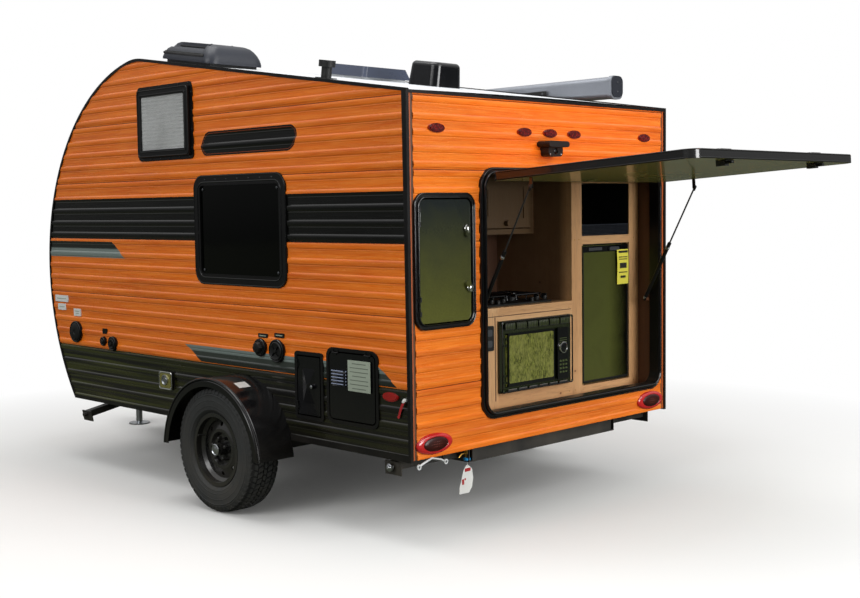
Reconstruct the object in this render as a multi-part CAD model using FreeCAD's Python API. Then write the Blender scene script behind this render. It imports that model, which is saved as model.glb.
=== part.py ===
import FreeCAD, Part
import math
import os

# Teardrop camping trailer with an open rear galley.
# X points to the trailer's right side, Y forwards to the coupler and Z up. The ground is z = 0.
# While it is modelled, y = 0 is the outer face of the rear wall. At the end everything is
# moved along Y so that the origin lies under the middle of the trailer's outer box.

V = FreeCAD.Vector
AXIS_X = V(1, 0, 0)
AXIS_Y = V(0, 1, 0)
AXIS_Z = V(0, 0, 1)
ORIGIN = V(0, 0, 0)

# Body shell
body_width = 2030
half = body_width / 2
body_base = 413
wall = 38
floor_thick = 40
roof_thick = 40
rear_height = 1708
roof_chord_share = 0.9637
nose_y = 3342
nose_height = 817
nose_upper_radius = 1240
nose_lower_radius = 1369
shoulder_radius = 420
seat_gap = 0.3
overrun = 20
least_radius = 3
inside = half - wall
floor_top = body_base + floor_thick
nose_centre_y = nose_y - nose_upper_radius
nose_distance = math.hypot(nose_centre_y, rear_height - nose_height)
slope_angle = (math.asin(nose_upper_radius * roof_chord_share / nose_distance)
               - math.atan2(rear_height - nose_height, nose_centre_y))
roof_slope = math.tan(slope_angle)

# Edge trim
trim_thick = 7
trim_band = 14
trim_lip = 26

# Side windows
window_rear = 879
window_front = 1689
window_low = 769
window_high = 1362
window_radius = 78
window_rim = 57
window_flange = 22
frame_proud = 10
pane_thick = 6
pane_depth = 6

# Grille high on the left wall
grille_rear = 1681
grille_front = 2238
grille_low = 1458
grille_high = 1880
grille_radius = 30
grille_proud = 24
grille_flange_width = 20
grille_flange_proud = 8
grille_border = 60
grille_field_depth = 9
grille_slat_count = 15
grille_slat_share = 0.45
grille_slat_proud = 4

# Fenders
fender_y = 1287
fender_centre_z = 280
fender_radius = 432
fender_low_z = 322
fender_reach = 230
fender_sheet = 4
fender_lip = 46
fender_bevel = 16

# Wheels and tyres
wheel_y = 1276
tyre_radius = 331.5
tyre_width = 196
tyre_wall_gap = 18
bead_radius = 178
rim_flange_radius = 194
rim_width = 152
rim_sheet = 5
tyre_shoulder = 34
well_radius = 160
well_half_width = 36
well_slope = 13
disc_offset = 12
disc_thick = 7
disc_crest_radius = 98
disc_crest_rise = 26
disc_crest_width = 16
disc_edge_rise = 8
hub_radius = 62
hub_length = 84
hub_cap_radius = 34
hub_cap_length = 46
lug_circle_radius = 57.15
lug_radius = 9.5
lug_length = 20
lug_count = 5
slot_circle_radius = 132
slot_radius = 12
slot_count = 8
spindle_radius = 17.5
running_gap = 0.05

# Chassis and tongue
rail_width = 50
rail_height = 76
rail_x_share = 0.552
rail_x = half * rail_x_share
rail_sheet = 5
cross_count = 5
tongue_rear_y = 2330
tongue_rear_x = rail_x
tongue_front_y = 4150
tongue_front_x = 36
tongue_height = 88
tray_y = 3290
tray_length = 420
tray_width = 420
tray_sheet = 5

# Axle
axle_tube = 70
axle_lead = 130
axle_drop = 52
arm_thick = 34
arm_height = 62
axle_bracket_length = 190

# Coupler
coupler_length = 250
coupler_width = 76
coupler_height = 62
ball_radius = 25.9
ball_mouth = 14
ball_back = 62
coupler_sheet = 9
latch_length = 88
latch_height = 24
latch_width = 22

# Tongue jack
jack_y = 3990
jack_outer_radius = 28.5
jack_sheet = 5
jack_tube_low = 215
jack_tube_high = 830
jack_foot_radius = 76
jack_foot_thick = 8
jack_crank_reach = 150
jack_crank_radius = 8
jack_knob_radius = 15
jack_knob_length = 82
jack_flange_radius = 58
jack_flange_thick = 10
jack_plate_length = 150
jack_plate_width = 190
jack_slide_gap = 0.6
jack_leg_top_share = 0.62

# Gas cylinder
cylinder_y = 3490
cylinder_radius = 155
cylinder_height = 400
cylinder_round = 90
cylinder_ring_radius = 118
cylinder_ring_height = 36
cylinder_collar_height = 120
cylinder_sheet = 5

# Corner stabilisers
stab_rear_y = 150
stab_front_y = 3000
stab_front_angle = 11
stab_side_margin = 375
stab_pivot_x = half - stab_side_margin
stab_length = 350
stab_pivot_drop = 42
stab_width = 52
stab_height = 40
stab_sheet = 5
stab_pin_radius = 7
stab_foot_length = 90
stab_foot_width = 110
stab_foot_thick = 6
stab_nut_radius = 12
stab_nut_length = 26
stab_bracket_thick = 6
stab_bracket_gap = 1.5
stab_bracket_length = 90

# Galley opening, its frame and its lifting door
galley_side_margin = 43
galley_left_share = 0.53
galley_right = half - galley_side_margin
galley_left = -half * galley_left_share
galley_low = 128
galley_high = 1363
galley_radius = 96
galley_rim = 33
galley_proud = 12
galley_sleeve = 16
galley_sleeve_depth = 48
door_gap = 7
galley_door_thick = 35
galley_door_angle = 93.5
hinge_back = 20
leaf_thick = 25
entry_leaf_thick = 30
hatch_leaf_thick = 18
hinge_radius = 7
hinge_pin_radius = 3
hinge_knuckle_count = 9
hinge_knuckle_gap = 2
hinge_leaf = 4
galley_latch_width = 110
galley_latch_height = 46
galley_latch_proud = 14
galley_latch_share = 0.22
latch_hook_length = 46
latch_hook_height = 26
latch_hook_width = 30

# Gas struts of the lifting door
strut_inset = 30
strut_foot_y = 60
strut_foot_z = 634
strut_door_reach = 248
strut_door_drop = 44
strut_tube_radius = 10.5
strut_rod_radius = 4.5
strut_tube_length = 350
strut_rod_length = 375
strut_eye_radius = 9
strut_eye_width = 10
strut_neck_radius = 4.2
strut_neck_share = 1.7
strut_pin_radius = 4
strut_plate = 5
strut_bore_gap = 0.3

# Rear storage door
storage_side_margin = 32
storage_right_share = 0.5685
storage_left = storage_side_margin - half
storage_right = -half * storage_right_share
storage_low = 602
storage_high = 1240
storage_radius = 62
storage_rim = 24
storage_proud = 10
storage_latch_radius = 17
storage_latch_proud = 16
storage_latch_shares = (0.3, 0.72)
storage_latch_edge_share = 1.8

# Small hatches low on the left wall
hatch_rim = 18
hatch_proud = 9
crease_hatch_rear = 612
crease_hatch_front = 834
crease_hatch_low = 115
crease_hatch_high = 458
crease_hatch_radius = 20
crease_rise = 9
louvre_hatch_rear = 207
louvre_hatch_front = 585
louvre_hatch_low = 121
louvre_hatch_high = 496
louvre_hatch_radius = 48
louvre_rear_share = 0.63
louvre_front_share = 0.92
louvre_low_share = 0.50
louvre_high_share = 0.75
louvre_count = 5
louvre_proud = 6
louvre_blade_share = 0.95
hatch_lock_radius = 12
hatch_lock_proud = 6
hatch_lock_share = 0.3
side_hinge_radius = 5
side_pin_radius = 2
side_hinge_plate = 3
side_hinge_reach = 11
side_hinge_length = 90
side_hinge_gap = 1
side_hinge_clear = 0.5
small_hinge_radius = 3.2
small_pin_radius = 1.4
small_hinge_length = 46
pair_shares = (0.14, 0.86)
trio_shares = (0.1, 0.5, 0.9)

# Entry door in the right wall
entry_rear = 1960
entry_front = 2600
entry_low = 90
entry_high = 1640
entry_radius = 90
entry_rim = 30
entry_proud = 10
entry_pane_rear_share = 0.24
entry_pane_front_share = 0.76
entry_pane_low_share = 0.56
entry_pane_high_share = 0.88
entry_pane_radius = 50
entry_pane_rim = 22
entry_handle_length = 120
entry_handle_height = 90
entry_handle_proud = 34
entry_handle_share = 0.44
entry_handle_edge_share = 0.7

# Galley joinery behind the opening
face_y = 154
face_thick = 18
panel_thick = 18
back_y = 700
partition_x = galley_left + galley_sleeve
column_margin = 127
post_right_share = 0.4473
post_width = 88
column_right = half - column_margin
post_right = half * post_right_share
post_left = post_right - post_width
sill_height = 176
counter_height = 655
counter_thick = 24
counter_nose = 8
fridge_top = 958
niche_low = 1003
niche_high = 1293
bay_rail_low = 592
bay_side_margin = 30
microwave_width = 577
microwave_right = post_left - bay_side_margin
microwave_left = microwave_right - microwave_width
microwave_low = 213
microwave_high = 585
overhead_y = 425
overhead_low = 1020
overhead_high = 1500
overhead_door_low = 1048
overhead_door_high = 1335
overhead_door_width = 418
overhead_door_right = post_left - bay_side_margin
overhead_door_left = overhead_door_right - overhead_door_width
overhead_stile = 26
cabinet_door_thick = 20
cabinet_door_gap = 6
cabinet_panel_border = 52
cabinet_panel_depth = 7
cabinet_knob_radius = 15
cabinet_knob_length = 26
locker_depth_y = 864
locker_shelf = 520
locker_roof = 1300

# Microwave, fridge and cooktop
microwave_depth = 380
microwave_trim_proud = 12
microwave_shell = 12
microwave_door_width = 382
microwave_panel_width = 106
microwave_trim_side = 40
microwave_panel_right = microwave_right - microwave_trim_side
microwave_door_right = microwave_panel_right - microwave_panel_width
microwave_door_left = microwave_door_right - microwave_door_width
microwave_door_low = 245
microwave_door_high = 512
microwave_door_thick = 16
microwave_knob_radius = 27
microwave_knob_proud = 16
appliance_gap = 3
fridge_depth = 430
fridge_shell = 34
fridge_door_thick = 42
fridge_side_gap = 9
fridge_pivot_set = 8
fridge_pivot_radius = 4
fridge_pivot_depth = 20
fridge_back_gap = 6
fridge_front_set = 4
fridge_handle_height = 34
cooktop_side_margin = 104
cooktop_width = 562
cooktop_right = post_left - cooktop_side_margin
cooktop_left = cooktop_right - cooktop_width
cooktop_front = 205
cooktop_back = 560
cooktop_thick = 9
cooktop_round = 18
burner_share = 0.26
burner_radius = 44
burner_height = 17
grate_reach = 92
grate_bar = 7
grate_height = 36
cooktop_knob_radius = 15
cooktop_knob_height = 20

# Roof fittings
fan_side_margin = 280
fan_x = fan_side_margin - half
fan_y = 1900
fan_length = 500
fan_width = 390
fan_base_height = 40
fan_base_inset = 34
fan_hood_height = 104
fan_hood_lift = 20
fan_hood_round = 60
fan_hood_taper = 62
fan_hood_brow = 22
fan_step_share = 0.56
fan_step_height = 26
fan_step_width_share = 0.56
vent_x = 0
vent_y = 1392
vent_size = 384
vent_curb_height = 46
vent_curb_inset = 24
vent_lid_height = 60
vent_lid_taper = 26
vent_lid_sheet = 4
vent_lid_clear = 5
vent_pin_radius = 3
vent_lug_reach = 58
vent_lug_width = 10
vent_lug_gap = 2
vent_lug_depth = 18
vent_pin_out = 6
vent_pin_height = 30
antenna_x = 0
antenna_y = 830
antenna_length = 232
antenna_width = 232
antenna_height = 142
antenna_taper = 9
antenna_round = 50
antenna_brow = 26
antenna_foot = 8
pipe_side_margin = 215
pipe_x = pipe_side_margin - half
pipe_y = 810
pipe_radius = 27
pipe_height = 62
pipe_cap_radius = 43
pipe_cap_height = 34
pipe_flange_radius = 56
pipe_flange_height = 8

# Awning cassette along the right wall
awning_rear = 392
awning_front = 2392
awning_low = 1802
awning_height = 128
awning_depth = 108
awning_round = 34
awning_cap_length = 26
awning_cap_proud = 5
awning_bracket_thick = 16
awning_bracket_length = 340
awning_bracket_height = 150
awning_bracket_shares = (0.2565, 0.7565)

# Lamps and camera on the rear wall
tail_side_margin = 149
tail_x = half - tail_side_margin
tail_z = 64
tail_length = 238
tail_height = 100
tail_base_proud = 14
tail_lens_length = 186
tail_lens_height = 62
tail_lens_proud = 30
lamp_step_share = 0.72
marker_length = 104
marker_height = 44
marker_proud = 15
marker_drop = 168
marker_z = rear_height - marker_drop
marker_shares = (-0.816, -0.202, -0.006, 0.187, 0.797)
side_marker_y = 124
side_marker_z = 291
camera_drop = 256
camera_x = -23
camera_z = rear_height - camera_drop
camera_width = 112
camera_height = 62
camera_proud = 84
camera_body_share = 0.7
camera_round = 22
camera_hood = 160
camera_hood_height = 30

# Ports on the left wall: distance from the rear wall, height, diameter
shore_port_y = 3027
shore_port_z = 418
shore_port_size = 135
water_port_y = 2699
water_port_z = 379
water_port_size = 55
drain_port_y = 2590
drain_port_z = 372
drain_port_size = 89
fill_port_y = 1114
fill_port_z = 454
fill_port_size = 95
tank_port_y = 974
tank_port_z = 445
tank_port_size = 121
port_proud = 13
port_lid_share = 0.72
port_lid_rise = 5
jack_plate_y = 2686
jack_plate_z = 441
jack_plate_across = 51
jack_plate_tall = 33
outlet_plate_y = 2006
outlet_plate_z = 200
outlet_plate_across = 133
outlet_plate_tall = 105
plate_proud = 7
plate_radius = 6

# Bed inside the cabin
bed_height = 500
bed_front_y = 2060
bed_panel = 18
mattress_thick = 110
mattress_inset = 12
mattress_round = 30


def up(height):
    """Height above the ground of a height above the body's bottom edge."""
    return body_base + height


def block(x0, x1, y0, y1, z0, z1):
    return Part.makeBox(x1 - x0, y1 - y0, z1 - z0, V(x0, y0, z0))


def cylinder(radius, length, start, direction):
    return Part.makeCylinder(radius, length, start, direction)


def tube(outer, inner, length, start, direction):
    bore = cylinder(inner, length, start, direction)
    return cylinder(outer, length, start, direction).cut(bore)


def join(shapes):
    """One solid from pieces that overlap or meet."""
    first = shapes[0]
    return first.fuse(shapes[1:]).removeSplitter()


def apart(shapes):
    """Several solids that share a node and do not touch."""
    return Part.makeCompound(shapes)


def rounded_face(a0, a1, b0, b1, radius, place):
    """A rectangle with round corners, put in space by place(a, b)."""
    bend = radius * (1 - math.sqrt(0.5))
    edges = [
        Part.LineSegment(place(a0 + radius, b0), place(a1 - radius, b0)).toShape(),
        Part.Arc(place(a1 - radius, b0), place(a1 - bend, b0 + bend), place(a1, b0 + radius)).toShape(),
        Part.LineSegment(place(a1, b0 + radius), place(a1, b1 - radius)).toShape(),
        Part.Arc(place(a1, b1 - radius), place(a1 - bend, b1 - bend), place(a1 - radius, b1)).toShape(),
        Part.LineSegment(place(a1 - radius, b1), place(a0 + radius, b1)).toShape(),
        Part.Arc(place(a0 + radius, b1), place(a0 + bend, b1 - bend), place(a0, b1 - radius)).toShape(),
        Part.LineSegment(place(a0, b1 - radius), place(a0, b0 + radius)).toShape(),
        Part.Arc(place(a0, b0 + radius), place(a0 + bend, b0 + bend), place(a0 + radius, b0)).toShape(),
    ]
    return Part.Face(Part.Wire(edges))


def side_plate(y0, y1, z0, z1, radius, x0, x1):
    """A plate parallel to the side walls, between x0 and x1."""
    return rounded_face(y0, y1, z0, z1, radius, lambda a, b: V(x0, a, b)).extrude(V(x1 - x0, 0, 0))


def rear_plate(x0, x1, z0, z1, radius, y0, y1):
    """A plate parallel to the rear wall, between y0 and y1."""
    return rounded_face(x0, x1, z0, z1, radius, lambda a, b: V(a, y0, b)).extrude(V(0, y1 - y0, 0))


def flat_plate(x0, x1, y0, y1, radius, z0, z1):
    """A level plate between z0 and z1."""
    return rounded_face(x0, x1, y0, y1, radius, lambda a, b: V(a, b, z0)).extrude(V(0, 0, z1 - z0))


def shrunk(a0, a1, b0, b1, radius, inset):
    """The same rounded rectangle moved inwards by inset."""
    return a0 + inset, a1 - inset, b0 + inset, b1 - inset, max(radius - inset, least_radius)


def oval_prism(centre, length, height, thick, step_share):
    """An oval boss on the rear wall, standing out towards -Y in two steps."""
    steps = []
    for share, depth in ((1, thick * step_share), (step_share, thick)):
        ellipse = Part.Ellipse(ORIGIN, length / 2 - height / 2 * (1 - share), height / 2 * share)
        steps.append(Part.Face(Part.Wire(ellipse.toShape())).extrude(V(0, 0, depth)))
    boss = join(steps)
    boss.rotate(ORIGIN, AXIS_X, 90)
    boss.translate(centre)
    return boss


def placed(shape, centre, along_leaf, outward):
    """Move a piece from the axes (hinge line, along the leaf, outward) to its place on the trailer."""
    line = along_leaf.cross(outward)
    matrix = FreeCAD.Matrix(line.x, along_leaf.x, outward.x, centre.x,
                            line.y, along_leaf.y, outward.y, centre.y,
                            line.z, along_leaf.z, outward.z, centre.z,
                            0, 0, 0, 1)
    moved = shape.copy()
    moved.Placement = FreeCAD.Placement(matrix)
    return moved


def surface_hinge(centre, along_leaf, outward, length, radius, pin_radius, gap, seat):
    """Butt hinge on the face of a leaf: the leaf's half with its barrel, and the frame's half with the pin.

    The leaf's edge is at the centre. The frame's edge is one gap away from it and its face lies
    deeper than the leaf's face by the seat."""
    lift = radius + side_hinge_clear
    knuckle = length / 4
    start = -length / 2 + knuckle + side_hinge_gap
    barrel = tube(radius, pin_radius + running_gap, -2 * start, V(start, 0, lift), AXIS_X)
    leaf = block(start, -start, pin_radius + running_gap * 2, side_hinge_reach, 0, side_hinge_plate)
    riser = block(start, -start, pin_radius + running_gap * 2, radius * 0.9, 0, lift)
    leaf_half = join([barrel, leaf, riser])
    pieces = [cylinder(pin_radius, length, V(-length / 2, 0, lift), AXIS_X)]
    reach = gap + side_hinge_reach
    for x in (-length / 2, length / 2 - knuckle):
        pieces.append(cylinder(radius, knuckle, V(x, 0, lift), AXIS_X))
        pieces.append(block(x, x + knuckle, -reach, 0, 0, side_hinge_plate))
        pieces.append(block(x, x + knuckle, -radius, 0, 0, lift))
        pieces.append(block(x, x + knuckle, -reach, -gap, -seat, side_hinge_plate))
    frame_half = join(pieces)
    return placed(leaf_half, centre, along_leaf, outward), placed(frame_half, centre, along_leaf, outward)


def hinge_axis_lift(radius):
    """Height of a surface hinge's axis above the leaf's face."""
    return radius + side_hinge_clear


def hinge_row(ends, shares, along_leaf, outward, length, radius, pin_radius, gap, seat):
    """Several surface hinges along one edge, between two end points: the leaf's halves and the frame's."""
    start, end = ends
    leaf_halves = []
    frame_halves = []
    for share in shares:
        centre = start + (end - start) * share
        leaf_half, frame_half = surface_hinge(centre, along_leaf, outward, length, radius, pin_radius, gap, seat)
        leaf_halves.append(leaf_half)
        frame_halves.append(frame_half)
    return leaf_halves, frame_halves


# Body shell
def shoulder_centre():
    """Centre of the bend between the straight roof and the front curve."""
    along = V(0, math.cos(slope_angle), math.sin(slope_angle))
    inward = V(0, math.sin(slope_angle), -math.cos(slope_angle))
    start = V(0, 0, rear_height) + inward * shoulder_radius
    nose_centre = V(0, nose_y - nose_upper_radius, nose_height)
    reach = nose_upper_radius - shoulder_radius
    offset = start - nose_centre
    middle = offset.dot(along)
    return start + along * (-middle + math.sqrt(middle**2 - offset.dot(offset) + reach**2))


def roof_height(y):
    """Height of the straight roof above the body's bottom edge."""
    return rear_height + y * roof_slope


def profile_face(x, inset, rear_inset, low_inset):
    """Side outline of the body, with its roof and front moved inwards by inset."""
    inward = V(0, math.sin(slope_angle), -math.cos(slope_angle))
    bend = shoulder_centre()
    upper = V(0, nose_y - nose_upper_radius, nose_height)
    lower = V(0, nose_y - nose_lower_radius, nose_height)
    towards = (bend - upper).normalize()
    lower_reach = nose_lower_radius - inset
    bottom_y = lower.y + math.sqrt(lower_reach**2 - (nose_height - low_inset) ** 2)
    rear_top = V(0, rear_inset, roof_height(rear_inset) - inset / math.cos(slope_angle))
    roof_end = bend - inward * (shoulder_radius - inset)
    bend_end = upper + towards * (nose_upper_radius - inset)
    bend_middle = bend + ((towards - inward) / 2).normalize() * (shoulder_radius - inset)
    nose = V(0, nose_y - inset, nose_height)
    upper_middle = upper + (towards + AXIS_Y).normalize() * (nose_upper_radius - inset)
    bottom = V(0, bottom_y, low_inset)
    lower_middle = lower + ((bottom - lower).normalize() + AXIS_Y).normalize() * lower_reach
    rear_bottom = V(0, rear_inset, low_inset)
    shift = V(x, 0, body_base)
    edges = [
        Part.LineSegment(rear_bottom + shift, rear_top + shift).toShape(),
        Part.LineSegment(rear_top + shift, roof_end + shift).toShape(),
        Part.Arc(roof_end + shift, bend_middle + shift, bend_end + shift).toShape(),
        Part.Arc(bend_end + shift, upper_middle + shift, nose + shift).toShape(),
        Part.Arc(nose + shift, lower_middle + shift, bottom + shift).toShape(),
        Part.LineSegment(bottom + shift, rear_bottom + shift).toShape(),
    ]
    return Part.Face(Part.Wire(edges))


def body_slice(x0, x1, inset, rear_inset, low_inset):
    return profile_face(x0, inset, rear_inset, low_inset).extrude(V(x1 - x0, 0, 0))


def make_floor():
    inner = body_slice(-inside, inside, roof_thick, wall, 0)
    return inner.common(block(-inside, inside, 0, nose_y, body_base, floor_top))


def side_hole(outline, inset, x0, x1):
    """A cutter through a side wall, for an opening whose outline is moved inwards by inset."""
    y0, y1, z0, z1, radius = shrunk(*outline, inset)
    return side_plate(y0, y1, up(z0), up(z1), radius, x0, x1)


window_outline = (window_rear, window_front, window_low, window_high, window_radius)
crease_outline = (crease_hatch_rear, crease_hatch_front, crease_hatch_low, crease_hatch_high, crease_hatch_radius)
louvre_outline = (louvre_hatch_rear, louvre_hatch_front, louvre_hatch_low, louvre_hatch_high, louvre_hatch_radius)
entry_outline = (entry_rear, entry_front, entry_low, entry_high, entry_radius)
galley_outline = (galley_left, galley_right, galley_low, galley_high, galley_radius)
storage_outline = (storage_left, storage_right, storage_low, storage_high, storage_radius)


def make_left_wall():
    sheet = body_slice(-half, -inside, 0, 0, 0)
    holes = [
        side_hole(window_outline, window_flange, -half - overrun, -inside + overrun),
        side_hole(crease_outline, hatch_rim / 2, -half - overrun, -inside + overrun),
        side_hole(louvre_outline, hatch_rim / 2, -half - overrun, -inside + overrun),
    ]
    return sheet.cut(holes)


def make_right_wall():
    sheet = body_slice(inside, half, 0, 0, 0)
    holes = [
        side_hole(window_outline, window_flange, inside - overrun, half + overrun),
        side_hole(entry_outline, entry_rim / 2, inside - overrun, half + overrun),
    ]
    mount = strut_foot_bracket(strut_xs[1], -1, inside)
    return join([sheet.cut(holes), mount])


def rear_hole(outline, inset, y0, y1):
    x0, x1, z0, z1, radius = shrunk(*outline, inset)
    return rear_plate(x0, x1, up(z0), up(z1), radius, y0, y1)


def make_rear_wall():
    inner = body_slice(-inside, inside, roof_thick, 0, 0)
    sheet = inner.common(block(-inside, inside, 0, wall, 0, up(rear_height)))
    holes = [
        rear_hole(galley_outline, galley_rim - galley_sleeve, -overrun, wall + overrun),
        rear_hole(storage_outline, storage_rim / 2, -overrun, wall + overrun),
    ]
    return sheet.cut(holes)


def make_roof_shell():
    outer = body_slice(-inside, inside, 0, 0, 0)
    reach = vent_size / 2 - vent_curb_inset * 2
    hatch = on_roof(block(-reach, reach, -reach, reach, -roof_thick - overrun, overrun), vent_x, vent_y)
    return outer.cut([body_slice(-inside - overrun, inside + overrun, roof_thick, -overrun, -overrun), hatch])


def make_edge_trim():
    """Black angle that wraps the outline of both side walls, and a flat band across the top of the rear."""
    flank = profile_face(half, -trim_thick, -trim_thick, -trim_thick).extrude(V(trim_thick, 0, 0))
    flank = flank.cut(profile_face(half, trim_lip, trim_lip, trim_lip).extrude(V(trim_thick, 0, 0)))
    start = half - trim_lip
    cap = profile_face(start, -trim_thick, -trim_thick, -trim_thick).extrude(V(trim_lip, 0, 0))
    cap = cap.cut(profile_face(start, 0, 0, 0).extrude(V(trim_lip, 0, 0)))
    right = join([flank, cap])
    reach = start - seat_gap
    band = block(-reach, reach, -trim_thick, 0, up(rear_height - trim_band), up(rear_height))
    return apart([right, right.mirror(ORIGIN, AXIS_X), band])


# Windows and grille
def framed_pane(outline, rim, flange, proud):
    """Frame and pane of a side window on the right wall."""
    face = half + proud
    outer = side_hole(outline, 0, half, face)
    sleeve = side_hole(outline, flange + seat_gap, inside, half)
    frame = join([outer, sleeve]).cut(side_hole(outline, rim, inside - overrun, face + overrun))
    pane = side_hole(outline, rim + seat_gap, half - pane_depth, half - pane_depth + pane_thick)
    return frame, pane


def make_windows():
    frame, pane = framed_pane(window_outline, window_rim, window_flange, frame_proud)
    frames = apart([frame, frame.mirror(ORIGIN, AXIS_X)])
    panes = apart([pane, pane.mirror(ORIGIN, AXIS_X)])
    return frames, panes


def make_side_grille():
    """Slatted grille in a raised frame, with a flat flange round it."""
    outline = (grille_rear, grille_front, grille_low, grille_high, grille_radius)
    flange = side_hole(outline, 0, -half - grille_flange_proud, -half)
    raised = side_hole(outline, grille_flange_width, -half - grille_proud, -half)
    frame = join([flange, raised])
    recess = shrunk(*outline, grille_border)
    field = side_plate(*recess[:2], up(recess[2]), up(recess[3]), grille_radius / 3,
                       -half - grille_proud - overrun, -half - grille_proud + grille_field_depth)
    frame = frame.cut(field)
    pitch = (recess[3] - recess[2]) / grille_slat_count
    back = -half - grille_proud + grille_field_depth
    slats = []
    for number in range(grille_slat_count):
        low = up(recess[2]) + pitch * (number + (1 - grille_slat_share) / 2)
        slats.append(block(back - grille_slat_proud, back, recess[0], recess[1], low, low + pitch * grille_slat_share))
    return join([frame] + slats)


# Fenders
def fender_bulk(radius, x0, x1, bevel, low):
    """Half drum above the wheel with its outer edge bevelled."""
    section = [V(x0, 0, 0), V(x0, 0, radius), V(x1 - bevel, 0, radius), V(x1, 0, radius - bevel), V(x1, 0, 0)]
    drum = Part.Face(Part.makePolygon(section + [section[0]])).revolve(ORIGIN, AXIS_X, 360)
    drum.translate(V(0, fender_y, fender_centre_z))
    below = block(x0 - overrun, x1 + overrun, fender_y - radius, fender_y + radius,
                  fender_centre_z - radius - overrun, low)
    return drum.cut(below)


def make_fenders():
    outer_x = half + fender_reach
    outer = fender_bulk(fender_radius, half, outer_x, fender_bevel, fender_low_z)
    inner = fender_bulk(fender_radius - fender_sheet, half - overrun, outer_x - fender_sheet,
                        fender_bevel, fender_low_z - overrun)
    mouth = cylinder(fender_radius - fender_lip, fender_reach + overrun, V(half, fender_y, fender_centre_z), AXIS_X)
    notch = block(half - overrun, half + trim_thick + seat_gap, fender_y - fender_radius,
                  fender_y + fender_radius, 0, up(trim_lip) + seat_gap)
    right = outer.cut([inner, mouth, notch])
    return apart([right, right.mirror(ORIGIN, AXIS_X)])


# Wheels
def tyre_section():
    """Corners of half the tyre's cross-section, from the bead out to the tread."""
    middle = tyre_width / 2
    bead = rim_width / 2
    step = tyre_shoulder / 3
    return [
        V(bead - rim_sheet * 2, 0, bead_radius + seat_gap),
        V(bead - seat_gap, 0, rim_flange_radius + seat_gap + rim_sheet),
        V(middle, 0, (bead_radius + tyre_radius) / 2),
        V(middle - step / 2, 0, tyre_radius - tyre_shoulder),
        V(middle - step * 2, 0, tyre_radius),
    ]


def make_tyre(centre_x):
    """Tyre as a turned solid."""
    right = tyre_section()
    left = [V(-corner.x, 0, corner.z) for corner in reversed(right)]
    section = right + left
    body = Part.Face(Part.makePolygon(section + [section[0]])).revolve(ORIGIN, AXIS_X, 360)
    body.translate(V(centre_x, wheel_y, tyre_radius))
    return body


def turned(corners):
    """Solid turned about the X axis from the corners (x, radius) of its section."""
    section = [V(x, 0, radius) for x, radius in corners]
    return Part.Face(Part.makePolygon(section + [section[0]])).revolve(ORIGIN, AXIS_X, 360)


def rim_barrel():
    """Rim with its two flanges and the deep well between the tyre's beads."""
    edge = rim_width / 2
    lip = edge + rim_sheet
    inner = bead_radius - rim_sheet
    well = well_half_width
    return turned([
        (-lip, rim_flange_radius), (-edge, rim_flange_radius), (-edge, bead_radius), (-well - well_slope, bead_radius),
        (-well, well_radius), (well, well_radius), (well + well_slope, bead_radius), (edge, bead_radius),
        (edge, rim_flange_radius), (lip, rim_flange_radius), (lip, inner), (well + well_slope, inner),
        (well, well_radius - rim_sheet), (-well, well_radius - rim_sheet), (-well - well_slope, inner), (-lip, inner),
    ])


def wheel_disc():
    """Pressed disc: flat where it is bolted on, raised to a crest round the nuts, falling away to the rim."""
    face = disc_offset + disc_thick
    crest = disc_crest_width / 2
    foot = disc_crest_radius - crest - disc_crest_rise / 2
    front = [(face, foot), (face + disc_crest_rise, disc_crest_radius - crest),
             (face + disc_crest_rise, disc_crest_radius + crest), (face + disc_edge_rise, well_radius - rim_sheet / 2)]
    back = [(x - disc_thick, radius) for x, radius in reversed(front)]
    disc = turned([(disc_offset, 0), (face, 0)] + front + back)
    for number in range(slot_count):
        angle = 2 * math.pi * number / slot_count
        start = V(0, slot_circle_radius * math.cos(angle), slot_circle_radius * math.sin(angle))
        disc = disc.cut(cylinder(slot_radius, face + disc_crest_rise, start, AXIS_X))
    return disc


def make_rim(centre_x):
    """Pressed steel wheel with its hub, five nuts and an open row of round vents."""
    hub = cylinder(hub_radius, hub_length, V(disc_offset + disc_thick - hub_length, 0, 0), AXIS_X)
    cap = cylinder(hub_cap_radius, hub_cap_length, V(disc_offset + disc_thick, 0, 0), AXIS_X)
    nuts = []
    for number in range(lug_count):
        angle = 2 * math.pi * (number + 0.5) / lug_count
        start = V(disc_offset, lug_circle_radius * math.cos(angle), lug_circle_radius * math.sin(angle))
        nuts.append(cylinder(lug_radius, disc_thick + lug_length, start, AXIS_X))
    bore = cylinder(spindle_radius + running_gap, hub_length, V(disc_offset - hub_length - overrun, 0, 0), AXIS_X)
    wheel = join([rim_barrel(), wheel_disc(), hub, cap] + nuts).cut(bore)
    wheel.translate(V(centre_x, wheel_y, tyre_radius))
    return wheel


# Chassis
def hollow_rail(start, end, width, height, sheet):
    """Rectangular tube between two points of equal height, start and end on its centre line."""
    run = end - start
    length = run.Length
    outer = block(0, length, -width / 2, width / 2, -height / 2, height / 2)
    inner = block(-overrun, length + overrun, -width / 2 + sheet, width / 2 - sheet, -height / 2 + sheet,
                  height / 2 - sheet)
    rail = outer.cut(inner)
    rail.rotate(ORIGIN, AXIS_Z, math.degrees(math.atan2(run.y, run.x)))
    rail.translate(start)
    return rail


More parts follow.
